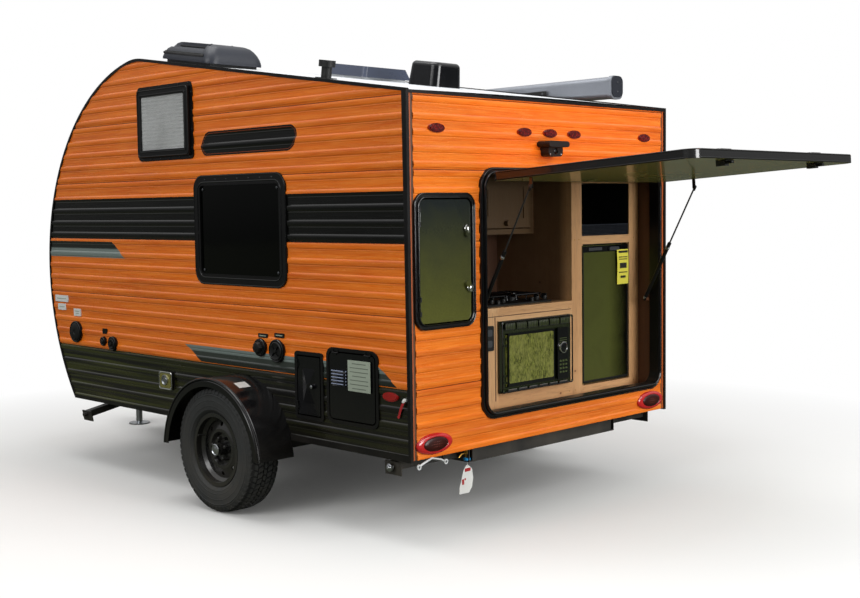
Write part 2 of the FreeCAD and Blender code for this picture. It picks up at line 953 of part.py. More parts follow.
def make_chassis():
    """Two long rails, cross members, the A-frame tongue, its tray and the stabiliser brackets."""
    rail_z = body_base - rail_height / 2
    front_y = nose_y - nose_lower_radius + math.sqrt(nose_lower_radius**2 - nose_height**2)
    last_y = front_y - rail_width
    pieces = []
    for side in (-1, 1):
        pieces.append(hollow_rail(V(side * rail_x, wall, rail_z), V(side * rail_x, last_y, rail_z),
                                  rail_width, rail_height, rail_sheet))
    for number in range(cross_count):
        y = wall + rail_width / 2 + (last_y - wall - rail_width) * number / (cross_count - 1)
        pieces.append(hollow_rail(V(-rail_x, y, rail_z), V(rail_x, y, rail_z), rail_width, rail_height, rail_sheet))
    tongue_z = body_base - tongue_height / 2
    for side in (-1, 1):
        pieces.append(hollow_rail(V(side * tongue_rear_x, tongue_rear_y, tongue_z),
                                  V(side * tongue_front_x, tongue_front_y, tongue_z),
                                  rail_width, tongue_height, rail_sheet))
    pieces.append(block(-tray_width / 2, tray_width / 2, tray_y, tray_y + tray_length, body_base, body_base + tray_sheet))
    plate_y = jack_y - jack_plate_length / 2
    pieces.append(block(-jack_plate_width / 2, jack_plate_width / 2, plate_y, plate_y + jack_plate_length,
                        body_base, body_base + tray_sheet))
    pieces += stabiliser_brackets()
    pieces += axle_hangers()
    frame = join(pieces)
    jack_hole = cylinder(jack_outer_radius + seat_gap, body_base + overrun, V(0, jack_y, 0), AXIS_Z)
    return frame.cut(jack_hole)


def stabiliser_brackets():
    """Pairs of cheeks with a bridge, one pair on the outside of a long rail at each corner."""
    brackets = []
    cheek = stab_width / 2 + stab_bracket_gap
    low = body_base - stab_pivot_drop - stab_height / 2
    for side in (-1, 1):
        inner = side * (rail_x + rail_width / 2)
        outer = side * (stab_pivot_x + stab_bracket_length / 2)
        x0, x1 = min(inner, outer), max(inner, outer)
        for y in (stab_rear_y, stab_front_y):
            for edge in (y - cheek - stab_bracket_thick, y + cheek):
                brackets.append(block(x0, x1, edge, edge + stab_bracket_thick, low, body_base))
            pin_start = V(side * stab_pivot_x, y - cheek - stab_bracket_thick, body_base - stab_pivot_drop)
            brackets.append(cylinder(stab_pin_radius, 2 * (cheek + stab_bracket_thick), pin_start, AXIS_Y))
            brackets.append(block(x0, x1, y - cheek, y + cheek, body_base - stab_bracket_thick, body_base))
    return brackets


def axle_hangers():
    """Plates under the long rails that carry the axle tube."""
    plates = []
    low = tyre_radius - axle_drop
    for side in (-1, 1):
        x = side * rail_x
        y = wheel_y + axle_lead
        plates.append(block(x - rail_width / 2, x + rail_width / 2, y - axle_bracket_length / 2,
                            y + axle_bracket_length / 2, low + axle_tube / 2 + seat_gap, body_base - rail_height))
    return plates


def make_axle():
    """Square axle tube with a trailing arm and a spindle at each end."""
    y = wheel_y + axle_lead
    z = tyre_radius - axle_drop
    reach = half - rail_sheet
    beam = block(-reach, reach, y - axle_tube / 2, y + axle_tube / 2, z - axle_tube / 2, z + axle_tube / 2)
    pieces = [beam]
    hub_end = half + tyre_wall_gap + tyre_width / 2 + disc_offset + disc_thick - hub_length
    for side in (-1, 1):
        x0 = side * (reach - arm_thick)
        x1 = side * reach
        arm = arm_between(min(x0, x1), V(0, y, z), V(0, wheel_y, tyre_radius))
        pieces.append(arm)
        start = V(side * reach, wheel_y, tyre_radius)
        spindle_end = hub_end + hub_length / 2
        pieces.append(cylinder(spindle_radius, spindle_end - reach, start, AXIS_X * side))
        pieces.append(cylinder(arm_height / 2, hub_end - reach - seat_gap * 2, start, AXIS_X * side))
    return join(pieces)


def arm_between(x0, start, end):
    """Flat arm with round ends between two points of one side."""
    run = end - start
    link = block(0, arm_thick, 0, run.Length, -arm_height / 2, arm_height / 2)
    link.rotate(ORIGIN, AXIS_X, math.degrees(math.atan2(run.z, run.y)))
    link.translate(V(x0, start.y, start.z))
    ends = [cylinder(arm_height / 2, arm_thick, V(x0, p.y, p.z), AXIS_X) for p in (start, end)]
    return join([link] + ends)


def make_coupler():
    """Ball coupler on the end of the tongue, with its latch lever."""
    z = body_base - tongue_height / 2
    start_y = tongue_front_y - coupler_length / 3
    front_y = start_y + coupler_length
    ball_y = front_y - ball_back
    shell = flat_plate(-coupler_width / 2, coupler_width / 2, start_y, front_y, coupler_width / 2 - seat_gap,
                       z + tongue_height / 2 + seat_gap, z + tongue_height / 2 + seat_gap + coupler_height)
    mouth_z = z + tongue_height / 2 + seat_gap
    ball = Part.makeSphere(ball_radius, V(0, ball_y, mouth_z + ball_mouth))
    mouth = cylinder(ball_radius, ball_mouth + overrun, V(0, ball_y, mouth_z - overrun), AXIS_Z)
    lever = block(-latch_width / 2, latch_width / 2, ball_y - latch_length, ball_y,
                  mouth_z + coupler_height, mouth_z + coupler_height + latch_height)
    return join([shell, lever]).cut([ball, mouth])


# Tongue jack
def make_jack():
    """Fixed tube with flange and crank, and the sliding leg with its foot."""
    post = tube(jack_outer_radius, jack_outer_radius - jack_sheet, jack_tube_high - jack_tube_low,
                V(0, jack_y, jack_tube_low), AXIS_Z)
    lid = cylinder(jack_outer_radius, jack_sheet, V(0, jack_y, jack_tube_high), AXIS_Z)
    flange_z = body_base + tray_sheet + seat_gap
    flange = tube(jack_flange_radius, jack_outer_radius - jack_sheet / 2, jack_flange_thick,
                  V(0, jack_y, flange_z), AXIS_Z)
    shaft = cylinder(jack_crank_radius, jack_crank_radius * 3, V(0, jack_y, jack_tube_high), AXIS_Z)
    top = jack_tube_high + jack_crank_radius * 3
    arm = cylinder(jack_crank_radius, jack_crank_reach, V(0, jack_y, top), AXIS_X)
    knob = cylinder(jack_knob_radius, jack_knob_length, V(jack_crank_reach, jack_y, top - jack_crank_radius), AXIS_Z)
    fixed = join([post, lid, flange, shaft, arm, knob])
    leg_radius = jack_outer_radius - jack_sheet - jack_slide_gap
    leg_top = jack_tube_low + (jack_tube_high - jack_tube_low) * jack_leg_top_share
    leg = cylinder(leg_radius, leg_top - jack_foot_thick, V(0, jack_y, jack_foot_thick), AXIS_Z)
    foot = cylinder(jack_foot_radius, jack_foot_thick, V(0, jack_y, 0), AXIS_Z)
    return fixed, join([leg, foot])


def make_gas_cylinder():
    base = body_base + tray_sheet + seat_gap
    ring = tube(cylinder_ring_radius, cylinder_ring_radius - cylinder_sheet, cylinder_ring_height,
                V(0, cylinder_y, base), AXIS_Z)
    tank = cylinder(cylinder_radius, cylinder_height, V(0, cylinder_y, base + cylinder_ring_height - cylinder_sheet * 3),
                    AXIS_Z)
    rims = [e for e in tank.Edges if len(e.Vertexes) == 1]
    tank = tank.makeFillet(cylinder_round, rims)
    top = base + cylinder_ring_height + cylinder_height - cylinder_sheet * 6
    collar = tube(cylinder_ring_radius, cylinder_ring_radius - cylinder_sheet, cylinder_collar_height,
                  V(0, cylinder_y, top), AXIS_Z)
    window = block(-cylinder_ring_radius / 2, cylinder_ring_radius / 2, cylinder_y, cylinder_y + cylinder_radius,
                   top + cylinder_collar_height / 3, top + cylinder_collar_height * 0.8)
    valve = cylinder(cylinder_ring_height / 2, cylinder_collar_height * 0.7, V(0, cylinder_y, top), AXIS_Z)
    return join([ring, tank, collar.cut(window), valve])


# Corner stabilisers
def make_stabiliser_leg(side, y, angle):
    """Leg along X, lowered by an angle: a channel open to the ground, with its foot and drive nut outboard."""
    z = body_base - stab_pivot_drop
    x0 = stab_pivot_x - stab_height / 2
    x1 = stab_pivot_x + stab_length
    arm = block(x0, x1, y - stab_width / 2, y + stab_width / 2, z - stab_height / 2, z + stab_height / 2)
    hollow = block(x0 + stab_height, x1 + overrun, y - stab_width / 2 + stab_sheet, y + stab_width / 2 - stab_sheet,
                   z - stab_height / 2 - overrun, z + stab_height / 2 - stab_sheet)
    arm = arm.cut(hollow)
    foot = block(x1 - stab_foot_thick, x1, y - stab_foot_width / 2, y + stab_foot_width / 2,
                 z - stab_foot_length / 2, z + stab_height / 2)
    nut = cylinder(stab_nut_radius, stab_nut_length, V(x1, y, z), AXIS_X)
    bore = cylinder(stab_pin_radius + running_gap, stab_width * 2, V(stab_pivot_x, y - stab_width, z), AXIS_Y)
    leg = join([arm, foot, nut]).cut(bore)
    leg.rotate(V(stab_pivot_x, y, z), AXIS_Y, angle)
    return leg if side > 0 else leg.mirror(ORIGIN, AXIS_X)


# Galley frame and lifting door
hinge_y = -hinge_back
hinge_z = up(galley_high - galley_rim + hinge_radius)
door_left = galley_left + galley_rim + door_gap
door_right = galley_right - galley_rim - door_gap
door_low = galley_low + galley_rim + door_gap
door_high = galley_high - galley_rim - door_gap
strut_xs = (galley_left + galley_rim + strut_inset, galley_right - galley_rim - strut_inset)


def hinge_spans(own):
    """Stretches of the long hinge that belong to the frame (own 0) or to the door (own 1)."""
    start = door_left + galley_radius
    total = door_right - galley_radius - start
    step = total / hinge_knuckle_count
    spans = []
    for number in range(hinge_knuckle_count):
        if number % 2 == own:
            spans.append((start + number * step + hinge_knuckle_gap / 2, start + (number + 1) * step - hinge_knuckle_gap / 2))
    return spans


def make_galley_frame():
    """Black ring round the opening: a flat flange outside, a sleeve through the wall and the hinge."""
    ring = rear_hole(galley_outline, 0, -galley_proud, 0)
    sleeve = rear_hole(galley_outline, galley_rim - galley_sleeve + seat_gap, 0, galley_sleeve_depth)
    ring = join([ring, sleeve]).cut(rear_hole(galley_outline, galley_rim, -galley_proud - overrun,
                                              galley_sleeve_depth + overrun))
    knuckles = []
    for x0, x1 in hinge_spans(0):
        knuckles.append(cylinder(hinge_radius, x1 - x0, V(x0, hinge_y, hinge_z), AXIS_X))
        knuckles.append(block(x0, x1, hinge_y, -galley_proud + hinge_leaf / 2, hinge_z - hinge_leaf / 2,
                              hinge_z + hinge_radius))
    first = hinge_spans(0)[0][0]
    last = hinge_spans(0)[-1][1]
    pin = cylinder(hinge_pin_radius, last - first, V(first, hinge_y, hinge_z), AXIS_X)
    return join([ring, pin] + knuckles)


def opened(shape):
    """Turn a piece of the closed lifting door about its hinge to the open place."""
    turned_shape = shape.copy()
    turned_shape.rotate(V(0, hinge_y, hinge_z), AXIS_X, -galley_door_angle)
    return turned_shape


def make_galley_door():
    """Lifting door, modelled closed in its ring and then turned open, with latches and strut studs."""
    radius = galley_radius - galley_rim - door_gap
    panel = rear_plate(door_left, door_right, up(door_low), up(door_high), radius,
                       -galley_proud, -galley_proud + galley_door_thick)
    pieces = [panel]
    for x0, x1 in hinge_spans(1):
        pieces.append(tube(hinge_radius, hinge_pin_radius + running_gap, x1 - x0, V(x0, hinge_y, hinge_z), AXIS_X))
        pieces.append(block(x0, x1, hinge_y - hinge_radius, hinge_y - hinge_radius + hinge_leaf,
                            up(door_high) - galley_latch_height, hinge_z))
        pieces.append(block(x0, x1, hinge_y - hinge_radius, -galley_proud, up(door_high) - galley_latch_height,
                            up(door_high) - hinge_leaf))
    width = door_right - door_left
    for share in (galley_latch_share, 1 - galley_latch_share):
        x = door_left + width * share
        z = up(door_low) + galley_latch_height * 1.4
        pieces.append(rear_plate(x - galley_latch_width / 2, x + galley_latch_width / 2, z - galley_latch_height / 2,
                                 z + galley_latch_height / 2, galley_latch_height / 3,
                                 -galley_proud - galley_latch_proud, -galley_proud))
        inner = -galley_proud + galley_door_thick
        pieces.append(block(x - latch_hook_width / 2, x + latch_hook_width / 2, inner, inner + latch_hook_height,
                            z - latch_hook_length / 2, z + latch_hook_length / 2))
    for x, side in zip(strut_xs, (1, -1)):
        pieces.append(strut_stud(x, side))
    return opened(join(pieces))


def strut_door_point():
    """Place of the strut's upper stud on the closed door."""
    return V(0, -galley_proud + galley_door_thick + strut_door_drop, hinge_z - strut_door_reach)


def strut_stud(x, side):
    """Small bracket on the door's inner face, beside the rod's eye."""
    point = strut_door_point()
    face = -galley_proud + galley_door_thick
    near = x + side * (strut_eye_width / 2 + seat_gap * 2)
    far = near + side * strut_plate
    return block(min(near, far), max(near, far), face, point.y + strut_eye_radius,
                 point.z - strut_eye_radius, point.z + strut_eye_radius)


def strut_ends():
    """Lower pin and upper eye of a strut with the door open."""
    foot = V(0, strut_foot_y, up(strut_foot_z))
    pin = Part.Vertex(strut_door_point())
    pin.rotate(V(0, hinge_y, hinge_z), AXIS_X, -galley_door_angle)
    return foot, pin.Point


def make_strut(x, side):
    """Tube with its lower eye, and the rod with its upper eye and ball stud, of one gas strut."""
    foot, top = strut_ends()
    along = (top - foot).normalize()
    foot = foot + V(x, 0, 0)
    top = top + V(x, 0, 0)
    eye_start = V(-strut_eye_width / 2, 0, 0)
    shoulder = strut_eye_radius * strut_neck_share
    barrel = cylinder(strut_tube_radius, strut_tube_length, foot + along * shoulder, along)
    neck = cylinder(strut_neck_radius, shoulder + strut_neck_radius, foot, along)
    lower_eye = cylinder(strut_eye_radius, strut_eye_width, foot + eye_start, AXIS_X)
    bore = cylinder(strut_rod_radius + strut_bore_gap, strut_tube_length,
                    foot + along * (shoulder + strut_neck_radius * 3), along)
    hole = cylinder(strut_pin_radius + running_gap, strut_eye_width * 2, foot + eye_start * 2, AXIS_X)
    body = join([barrel, neck, lower_eye]).cut([bore, hole])
    upper_eye = cylinder(strut_eye_radius, strut_eye_width, top + eye_start, AXIS_X)
    rod = cylinder(strut_rod_radius, strut_rod_length, top - along * strut_rod_length, along)
    stud = cylinder(strut_pin_radius, strut_eye_width, top, AXIS_X * -side)
    return body, join([rod, upper_eye, stud])


def strut_foot_bracket(x, side, wall_x):
    """Plate and pin on the galley's side that carry the lower end of a strut."""
    foot = strut_ends()[0]
    near = x - side * (strut_eye_width / 2 + seat_gap * 2)
    block_x = sorted((wall_x, near))
    plate = block(block_x[0], block_x[1], foot.y - strut_eye_radius, foot.y + strut_eye_radius,
                  foot.z - strut_eye_radius, foot.z + strut_eye_radius)
    pin = cylinder(strut_pin_radius, strut_eye_width + strut_plate, V(near - side * strut_plate, foot.y, foot.z),
                   AXIS_X * side)
    return join([plate, pin])


# Hinged covers on the walls
def storage_hinges():
    x0, x1, z0, z1, radius = shrunk(*storage_outline, storage_rim + door_gap)
    ends = (V(x0, -storage_proud, up(z0)), V(x0, -storage_proud, up(z1)))
    return hinge_row(ends, pair_shares, AXIS_X, -AXIS_Y, side_hinge_length, side_hinge_radius,
                     side_pin_radius, door_gap, 0)


def entry_hinges():
    y0, y1, z0, z1, radius = shrunk(*entry_outline, entry_rim + door_gap)
    ends = (V(half + entry_proud, y1, up(z0)), V(half + entry_proud, y1, up(z1)))
    return hinge_row(ends, trio_shares, -AXIS_Y, AXIS_X, side_hinge_length, side_hinge_radius,
                     side_pin_radius, door_gap, 0)


def crease_hinges():
    y0, y1, z0, z1, radius = shrunk(*crease_outline, hatch_rim + door_gap)
    ends = (V(-half - hatch_proud, y1, up(z0)), V(-half - hatch_proud, y1, up(z1)))
    return hinge_row(ends, pair_shares, -AXIS_Y, -AXIS_X, small_hinge_length, small_hinge_radius,
                     small_pin_radius, door_gap, 0)


def louvre_hinges():
    y0, y1, z0, z1, radius = shrunk(*louvre_outline, hatch_rim + door_gap)
    ends = (V(-half - hatch_proud, y0, up(z1)), V(-half - hatch_proud, y1, up(z1)))
    return hinge_row(ends, pair_shares, -AXIS_Z, -AXIS_X, small_hinge_length, small_hinge_radius,
                     small_pin_radius, door_gap, 0)


def make_door_frames():
    """Black rims round the rear storage door, the entry door and the two small hatches."""
    storage = rear_hole(storage_outline, 0, -storage_proud, 0)
    sleeve = rear_hole(storage_outline, storage_rim / 2 + seat_gap, 0, wall)
    storage = join([storage, sleeve]).cut(rear_hole(storage_outline, storage_rim, -overrun, wall + overrun))
    entry = side_hole(entry_outline, 0, half, half + entry_proud)
    entry_sleeve = side_hole(entry_outline, entry_rim / 2 + seat_gap, inside, half)
    entry = join([entry, entry_sleeve]).cut(side_hole(entry_outline, entry_rim, inside - overrun, half + overrun))
    rims = [join([storage] + storage_hinges()[1]), join([entry] + entry_hinges()[1])]
    for outline, hinges in ((crease_outline, crease_hinges()), (louvre_outline, louvre_hinges())):
        rim = side_hole(outline, 0, -half - hatch_proud, -half)
        rim_sleeve = side_hole(outline, hatch_rim / 2 + seat_gap, -half, -inside)
        rim = join([rim, rim_sleeve]).cut(side_hole(outline, hatch_rim, -half - overrun, -inside + overrun))
        rims.append(join([rim] + hinges[1]))
    return apart(rims)


def make_storage_door():
    """Glossy leaf in the storage frame with two round latches, hinged on its left edge."""
    x0, x1, z0, z1, radius = shrunk(*storage_outline, storage_rim + door_gap)
    leaf = rear_plate(x0, x1, up(z0), up(z1), radius, -storage_proud, -storage_proud + leaf_thick)
    pieces = [leaf]
    for share in storage_latch_shares:
        z = up(z0 + (z1 - z0) * share)
        pieces.append(cylinder(storage_latch_radius, storage_latch_proud,
                               V(x1 - storage_latch_radius * storage_latch_edge_share, -storage_proud, z), -AXIS_Y))
    return join(pieces + storage_hinges()[0])


def side_leaf(outline, gap, proud, thick, side):
    """Leaf of a hatch in a side wall, flush with its proud rim."""
    face = half + proud
    leaf = side_hole(outline, gap, face - thick, face)
    return leaf if side > 0 else leaf.mirror(ORIGIN, AXIS_X)


def make_entry_door():
    """Entry leaf with its own window and a flat handle, hinged on its front edge."""
    gap = entry_rim + door_gap
    leaf = side_leaf(entry_outline, gap, entry_proud, entry_leaf_thick, 1)
    width = entry_front - entry_rear
    height = entry_high - entry_low
    pane_outline = (entry_rear + width * entry_pane_rear_share, entry_rear + width * entry_pane_front_share,
                    entry_low + height * entry_pane_low_share, entry_low + height * entry_pane_high_share,
                    entry_pane_radius)
    face = half + entry_proud
    rim = side_hole(pane_outline, 0, face, face + frame_proud / 2)
    leaf = join([leaf, rim]).cut(side_hole(pane_outline, entry_pane_rim, half - wall - overrun, face + overrun))
    pane = side_hole(pane_outline, entry_pane_rim + seat_gap, face - pane_depth, face - pane_depth + pane_thick)
    handle_z = up(entry_low + height * entry_handle_share)
    handle_y = entry_rear + gap + entry_handle_length * entry_handle_edge_share
    handle = side_plate(handle_y - entry_handle_length / 2, handle_y + entry_handle_length / 2,
                        handle_z - entry_handle_height / 2, handle_z + entry_handle_height / 2,
                        entry_handle_height / 4, face, face + entry_handle_proud)
    return join([leaf, handle] + entry_hinges()[0]), pane


def make_crease_hatch():
    """Small hatch whose face is folded into a flat pyramid, with a round lock."""
    leaf = side_leaf(crease_outline, hatch_rim + door_gap, hatch_proud, hatch_leaf_thick, -1)
    y0, y1, z0, z1, radius = shrunk(*crease_outline, hatch_rim + door_gap)
    face = -half - hatch_proud
    back = face + crease_rise / 2
    border = side_hinge_reach + crease_rise
    crease = (y0 + border, y1 - border, up(z0) + border, up(z1) - border)
    middle = ((y0 + y1) / 2 - crease_rise, (y0 + y1) / 2 + crease_rise,
              up((z0 + z1) / 2) - crease_rise, up((z0 + z1) / 2) + crease_rise)
    wires = []
    for x, (low_y, high_y, low_z, high_z) in ((back, crease), (face - crease_rise, middle)):
        corners = [V(x, low_y, low_z), V(x, high_y, low_z), V(x, high_y, high_z), V(x, low_y, high_z)]
        wires.append(Part.makePolygon(corners + [corners[0]]))
    pyramid = Part.makeLoft(wires, True, True)
    lock = cylinder(hatch_lock_radius, crease_rise + hatch_lock_proud,
                    V(face, y0 + (y1 - y0) * hatch_lock_share, up((z0 + z1) / 2)), -AXIS_X)
    return join([leaf, pyramid, lock] + crease_hinges()[0])


def make_louvre_hatch():
    """Larger hatch with louvres, hinged on its top edge."""
    leaf = side_leaf(louvre_outline, hatch_rim + door_gap, hatch_proud, hatch_leaf_thick, -1)
    y0, y1, z0, z1, radius = shrunk(*louvre_outline, hatch_rim + door_gap)
    face = -half - hatch_proud
    width = y1 - y0
    height = z1 - z0
    low = up(z0 + height * louvre_low_share)
    back = face + louvre_proud
    pitch = height * (louvre_high_share - louvre_low_share) / louvre_count
    pieces = [leaf]
    for number in range(louvre_count):
        z = low + number * pitch
        outline = [V(back, 0, z), V(face - louvre_proud, 0, z), V(back, 0, z + pitch * louvre_blade_share)]
        blade = Part.Face(Part.makePolygon(outline + [outline[0]]))
        blade = blade.extrude(V(0, width * (louvre_front_share - louvre_rear_share), 0))
        blade.translate(V(0, y0 + width * louvre_rear_share, 0))
        pieces.append(blade)
    return join(pieces + louvre_hinges()[0])


# Galley joinery
def make_galley_cabinet():
    """Pine face frame with its openings, the fridge side panel and the overhead cupboard's carcass."""
    top = up(roof_height(face_y)) - roof_thick * 1.2
    frame = block(partition_x + seat_gap, inside - seat_gap, face_y, face_y + face_thick, floor_top, top)
    openings = [
        block(partition_x - overrun, post_left, face_y - overrun, face_y + face_thick + overrun,
              up(counter_height - counter_thick), top + overrun),
        block(microwave_left + microwave_trim_proud, microwave_right - microwave_trim_proud, face_y - overrun,
              face_y + face_thick + overrun, up(microwave_low + microwave_trim_proud),
              up(microwave_high - microwave_trim_proud)),
        block(post_right, column_right, face_y - overrun, face_y + face_thick + overrun, up(sill_height),
              up(fridge_top)),
        block(post_right, column_right, face_y - overrun, face_y + face_thick + overrun, up(niche_low),
              up(niche_high)),
    ]
    frame = frame.cut(openings)
    behind = face_y + face_thick
    side = block(post_left, post_left + panel_thick, behind, back_y - seat_gap, floor_top,
                 up(roof_height(face_y)) - roof_thick * 1.2)
    niche_floor = block(post_left, inside - seat_gap, behind, back_y - seat_gap, up(fridge_top),
                        up(fridge_top) + panel_thick)
    niche_roof = block(post_left, inside - seat_gap, behind, back_y - seat_gap, up(niche_high),
                       up(niche_high) + panel_thick)
    left = partition_x + seat_gap
    carcass_floor = block(left, post_left + panel_thick / 2, overhead_y, back_y - seat_gap, up(overhead_low),
                          up(overhead_low) + panel_thick)
    carcass_face = block(left, post_left + panel_thick / 2, overhead_y, overhead_y + face_thick, up(overhead_low),
                         up(overhead_high))
    carcass_top = block(left, post_left + panel_thick / 2, overhead_y, back_y - seat_gap,
                        up(overhead_high) - panel_thick, up(overhead_high))
    doors = [block(x0, x1, overhead_y - overrun, overhead_y + face_thick + overrun,
                   up(overhead_door_low), up(overhead_door_high)) for x0, x1 in overhead_spans()]
    carcass_face = carcass_face.cut(doors)
    shelf = block(post_left, inside - seat_gap, behind, back_y - seat_gap, up(sill_height) - panel_thick,
                  up(sill_height))
    pieces = [frame, side, niche_floor, niche_roof, carcass_floor, carcass_face, carcass_top, shelf]
    pivot = fridge_pivot()
    pieces.append(cylinder(fridge_pivot_radius, fridge_side_gap + fridge_pivot_depth,
                           V(pivot.x, pivot.y, up(sill_height)), AXIS_Z))
    pieces.append(cylinder(fridge_pivot_radius, fridge_side_gap + fridge_pivot_depth,
                           V(pivot.x, pivot.y, up(fridge_top)), -AXIS_Z))
    for span in overhead_spans():
        pieces += flap_hinges(*span)[1]
    return join(pieces)


def fridge_pivot():
    """Point on the vertical axis of the fridge door."""
    return V(post_right + fridge_side_gap + fridge_pivot_set, face_y + fridge_front_set + fridge_pivot_set, 0)


def flap_hinges(x0, x1):
    """Two small hinges above a cupboard flap."""
    front = overhead_y - cabinet_panel_depth
    z = up(overhead_door_high) - cabinet_door_gap
    return hinge_row((V(x0, front, z), V(x1, front, z)), pair_shares, -AXIS_Z, -AXIS_Y, small_hinge_length,
                     small_hinge_radius, small_pin_radius, cabinet_door_gap, cabinet_panel_depth)


def overhead_spans():
    """Left and right edge of the two flap openings in the overhead cupboard."""
    left = partition_x + overhead_stile
    return [(left, overhead_door_left - overhead_stile), (overhead_door_left, overhead_door_right)]


def make_cupboard_flap(x0, x1):
    """Frame-and-panel flap of the overhead cupboard with a round knob, set in its opening."""
    hinge_halves = flap_hinges(x0, x1)[0]
    x0 += cabinet_door_gap
    x1 -= cabinet_door_gap
    z0 = up(overhead_door_low) + cabinet_door_gap
    z1 = up(overhead_door_high) - cabinet_door_gap
    front = overhead_y - cabinet_panel_depth
    leaf = block(x0, x1, front, front + cabinet_door_thick, z0, z1)
    border = cabinet_panel_border
    groove = block(x0 + border, x1 - border, front - overrun, front + cabinet_panel_depth, z0 + border, z1 - border)
    field = block(x0 + border * 1.25, x1 - border * 1.25, front + cabinet_panel_depth / 3,
                  front + cabinet_panel_depth, z0 + border * 1.25, z1 - border * 1.25)
    knob = cylinder(cabinet_knob_radius, cabinet_knob_length, V((x0 + x1) / 2, front, z0 + border / 2), -AXIS_Y)
    return join([leaf.cut(groove), field, knob] + hinge_halves)


def make_bulkhead():
    """Panels behind and beside the galley that part it from the cabin and from the rear locker."""
    ceiling = body_slice(-inside, inside, roof_thick, 0, 0)
    high = up(roof_height(nose_y))
    left = partition_x - panel_thick
    pieces = [
        block(left, inside, back_y, back_y + panel_thick, floor_top, high),
        block(-inside, left, back_y, back_y + panel_thick, up(locker_shelf), high),
        block(-inside, left, locker_depth_y - panel_thick, locker_depth_y, floor_top, up(locker_shelf)),
        block(-inside, left, wall, locker_depth_y, up(locker_shelf) - panel_thick, up(locker_shelf)),
        block(-inside, left, wall, back_y + panel_thick, up(locker_roof), up(locker_roof) + panel_thick),
        block(left, partition_x, wall, back_y, floor_top, high),
        block(left, partition_x, back_y, locker_depth_y, floor_top, up(locker_shelf)),
    ]
    pieces.append(strut_foot_bracket(strut_xs[0], 1, partition_x))
    return join(pieces).common(ceiling)


def make_counter():
    """Worktop with its front edge just past the face frame."""
    return block(partition_x + seat_gap, post_left - seat_gap, face_y - counter_nose, back_y - seat_gap,
                 up(counter_height - counter_thick) + seat_gap, up(counter_height))


def make_cooktop():
    """Two-burner hob: a flat tray, two burners with four-armed grates and two knobs."""
    z = up(counter_height) + seat_gap
    tray = flat_plate(cooktop_left, cooktop_right, cooktop_front, cooktop_back, cooktop_round, z, z + cooktop_thick)
    pieces = [tray]
    top = z + cooktop_thick
    middle_y = (cooktop_front + cooktop_back) / 2
    for share in (burner_share, 1 - burner_share):
        x = cooktop_left + cooktop_width * share
        pieces.append(cylinder(burner_radius, burner_height, V(x, middle_y, top), AXIS_Z))
        for number in range(4):
            arm = block(grate_reach * 0.3, grate_reach, -grate_bar / 2, grate_bar / 2, grate_height - grate_bar,
                        grate_height)
            post = block(grate_reach - grate_bar, grate_reach, -grate_bar / 2, grate_bar / 2, 0, grate_height)
            arm = join([arm, post])
            arm.rotate(ORIGIN, AXIS_Z, 45 + 90 * number)
            arm.translate(V(x, middle_y, top))
            pieces.append(arm)
        pieces.append(cylinder(grate_reach * 0.3 + grate_bar, grate_bar, V(x, middle_y, top + grate_height - grate_bar),
                               AXIS_Z))
        pieces.append(cylinder(cooktop_knob_radius, cooktop_knob_height,
                               V(x, cooktop_front + cooktop_knob_radius * 1.6, top), AXIS_Z))
    return join(pieces)


def make_microwave():
    """Microwave with its trim kit: a hollow box open to the front behind its door."""
    front = face_y - microwave_trim_proud
    trim = block(microwave_left, microwave_right, front, face_y - seat_gap, up(microwave_low), up(microwave_high))
    inset = microwave_trim_proud + appliance_gap
    shell = block(microwave_left + inset, microwave_right - inset, face_y - seat_gap, face_y + microwave_depth,
                  up(microwave_low) + inset, up(microwave_high) - inset)
    body = join([trim, shell])
    gap = cabinet_door_gap
    recess = block(microwave_door_left - gap, microwave_door_right + gap, front - overrun,
                   front + microwave_door_thick, up(microwave_door_low) - gap, up(microwave_door_high) + gap)
    cavity = block(microwave_door_left + microwave_shell, microwave_door_right - microwave_shell, front,
                   face_y + microwave_depth - microwave_shell * 4, up(microwave_door_low) + microwave_shell,
                   up(microwave_door_high) - microwave_shell)
    knob_x = (microwave_door_right + microwave_panel_right) / 2
    knob_z = up((microwave_door_low + microwave_door_high * 2) / 3)
    knob = cylinder(microwave_knob_radius, microwave_knob_proud, V(knob_x, front, knob_z), -AXIS_Y)
    return join([body.cut([recess, cavity]), knob] + microwave_hinges()[1])


def microwave_hinges():
    """Two small hinges on the left edge of the microwave's door."""
    front = face_y - microwave_trim_proud
    ends = (V(microwave_door_left, front, up(microwave_door_low)),
            V(microwave_door_left, front, up(microwave_door_high)))
    return hinge_row(ends, pair_shares, AXIS_X, -AXIS_Y, small_hinge_length, small_hinge_radius,
                     small_pin_radius, cabinet_door_gap, 0)


def make_microwave_door():
    front = face_y - microwave_trim_proud
    leaf = block(microwave_door_left, microwave_door_right, front, front + microwave_door_thick - seat_gap,
                 up(microwave_door_low), up(microwave_door_high))
    return join([leaf] + microwave_hinges()[0])


def make_fridge():
    """Fridge cabinet on its shelf behind the face frame, hollow and open to the front."""
    gap = appliance_gap
    x0 = post_left + panel_thick + gap
    x1 = column_right - gap
    z0 = up(sill_height) + seat_gap
    z1 = up(fridge_top) - gap
    front = face_y + fridge_front_set + fridge_door_thick + fridge_back_gap
    body = block(x0, x1, front, face_y + fridge_depth, z0, z1)
    shell = fridge_shell
    return body.cut(block(post_right + shell, x1 - shell, front - overrun, face_y + fridge_depth - shell,
                          z0 + shell, z1 - shell))


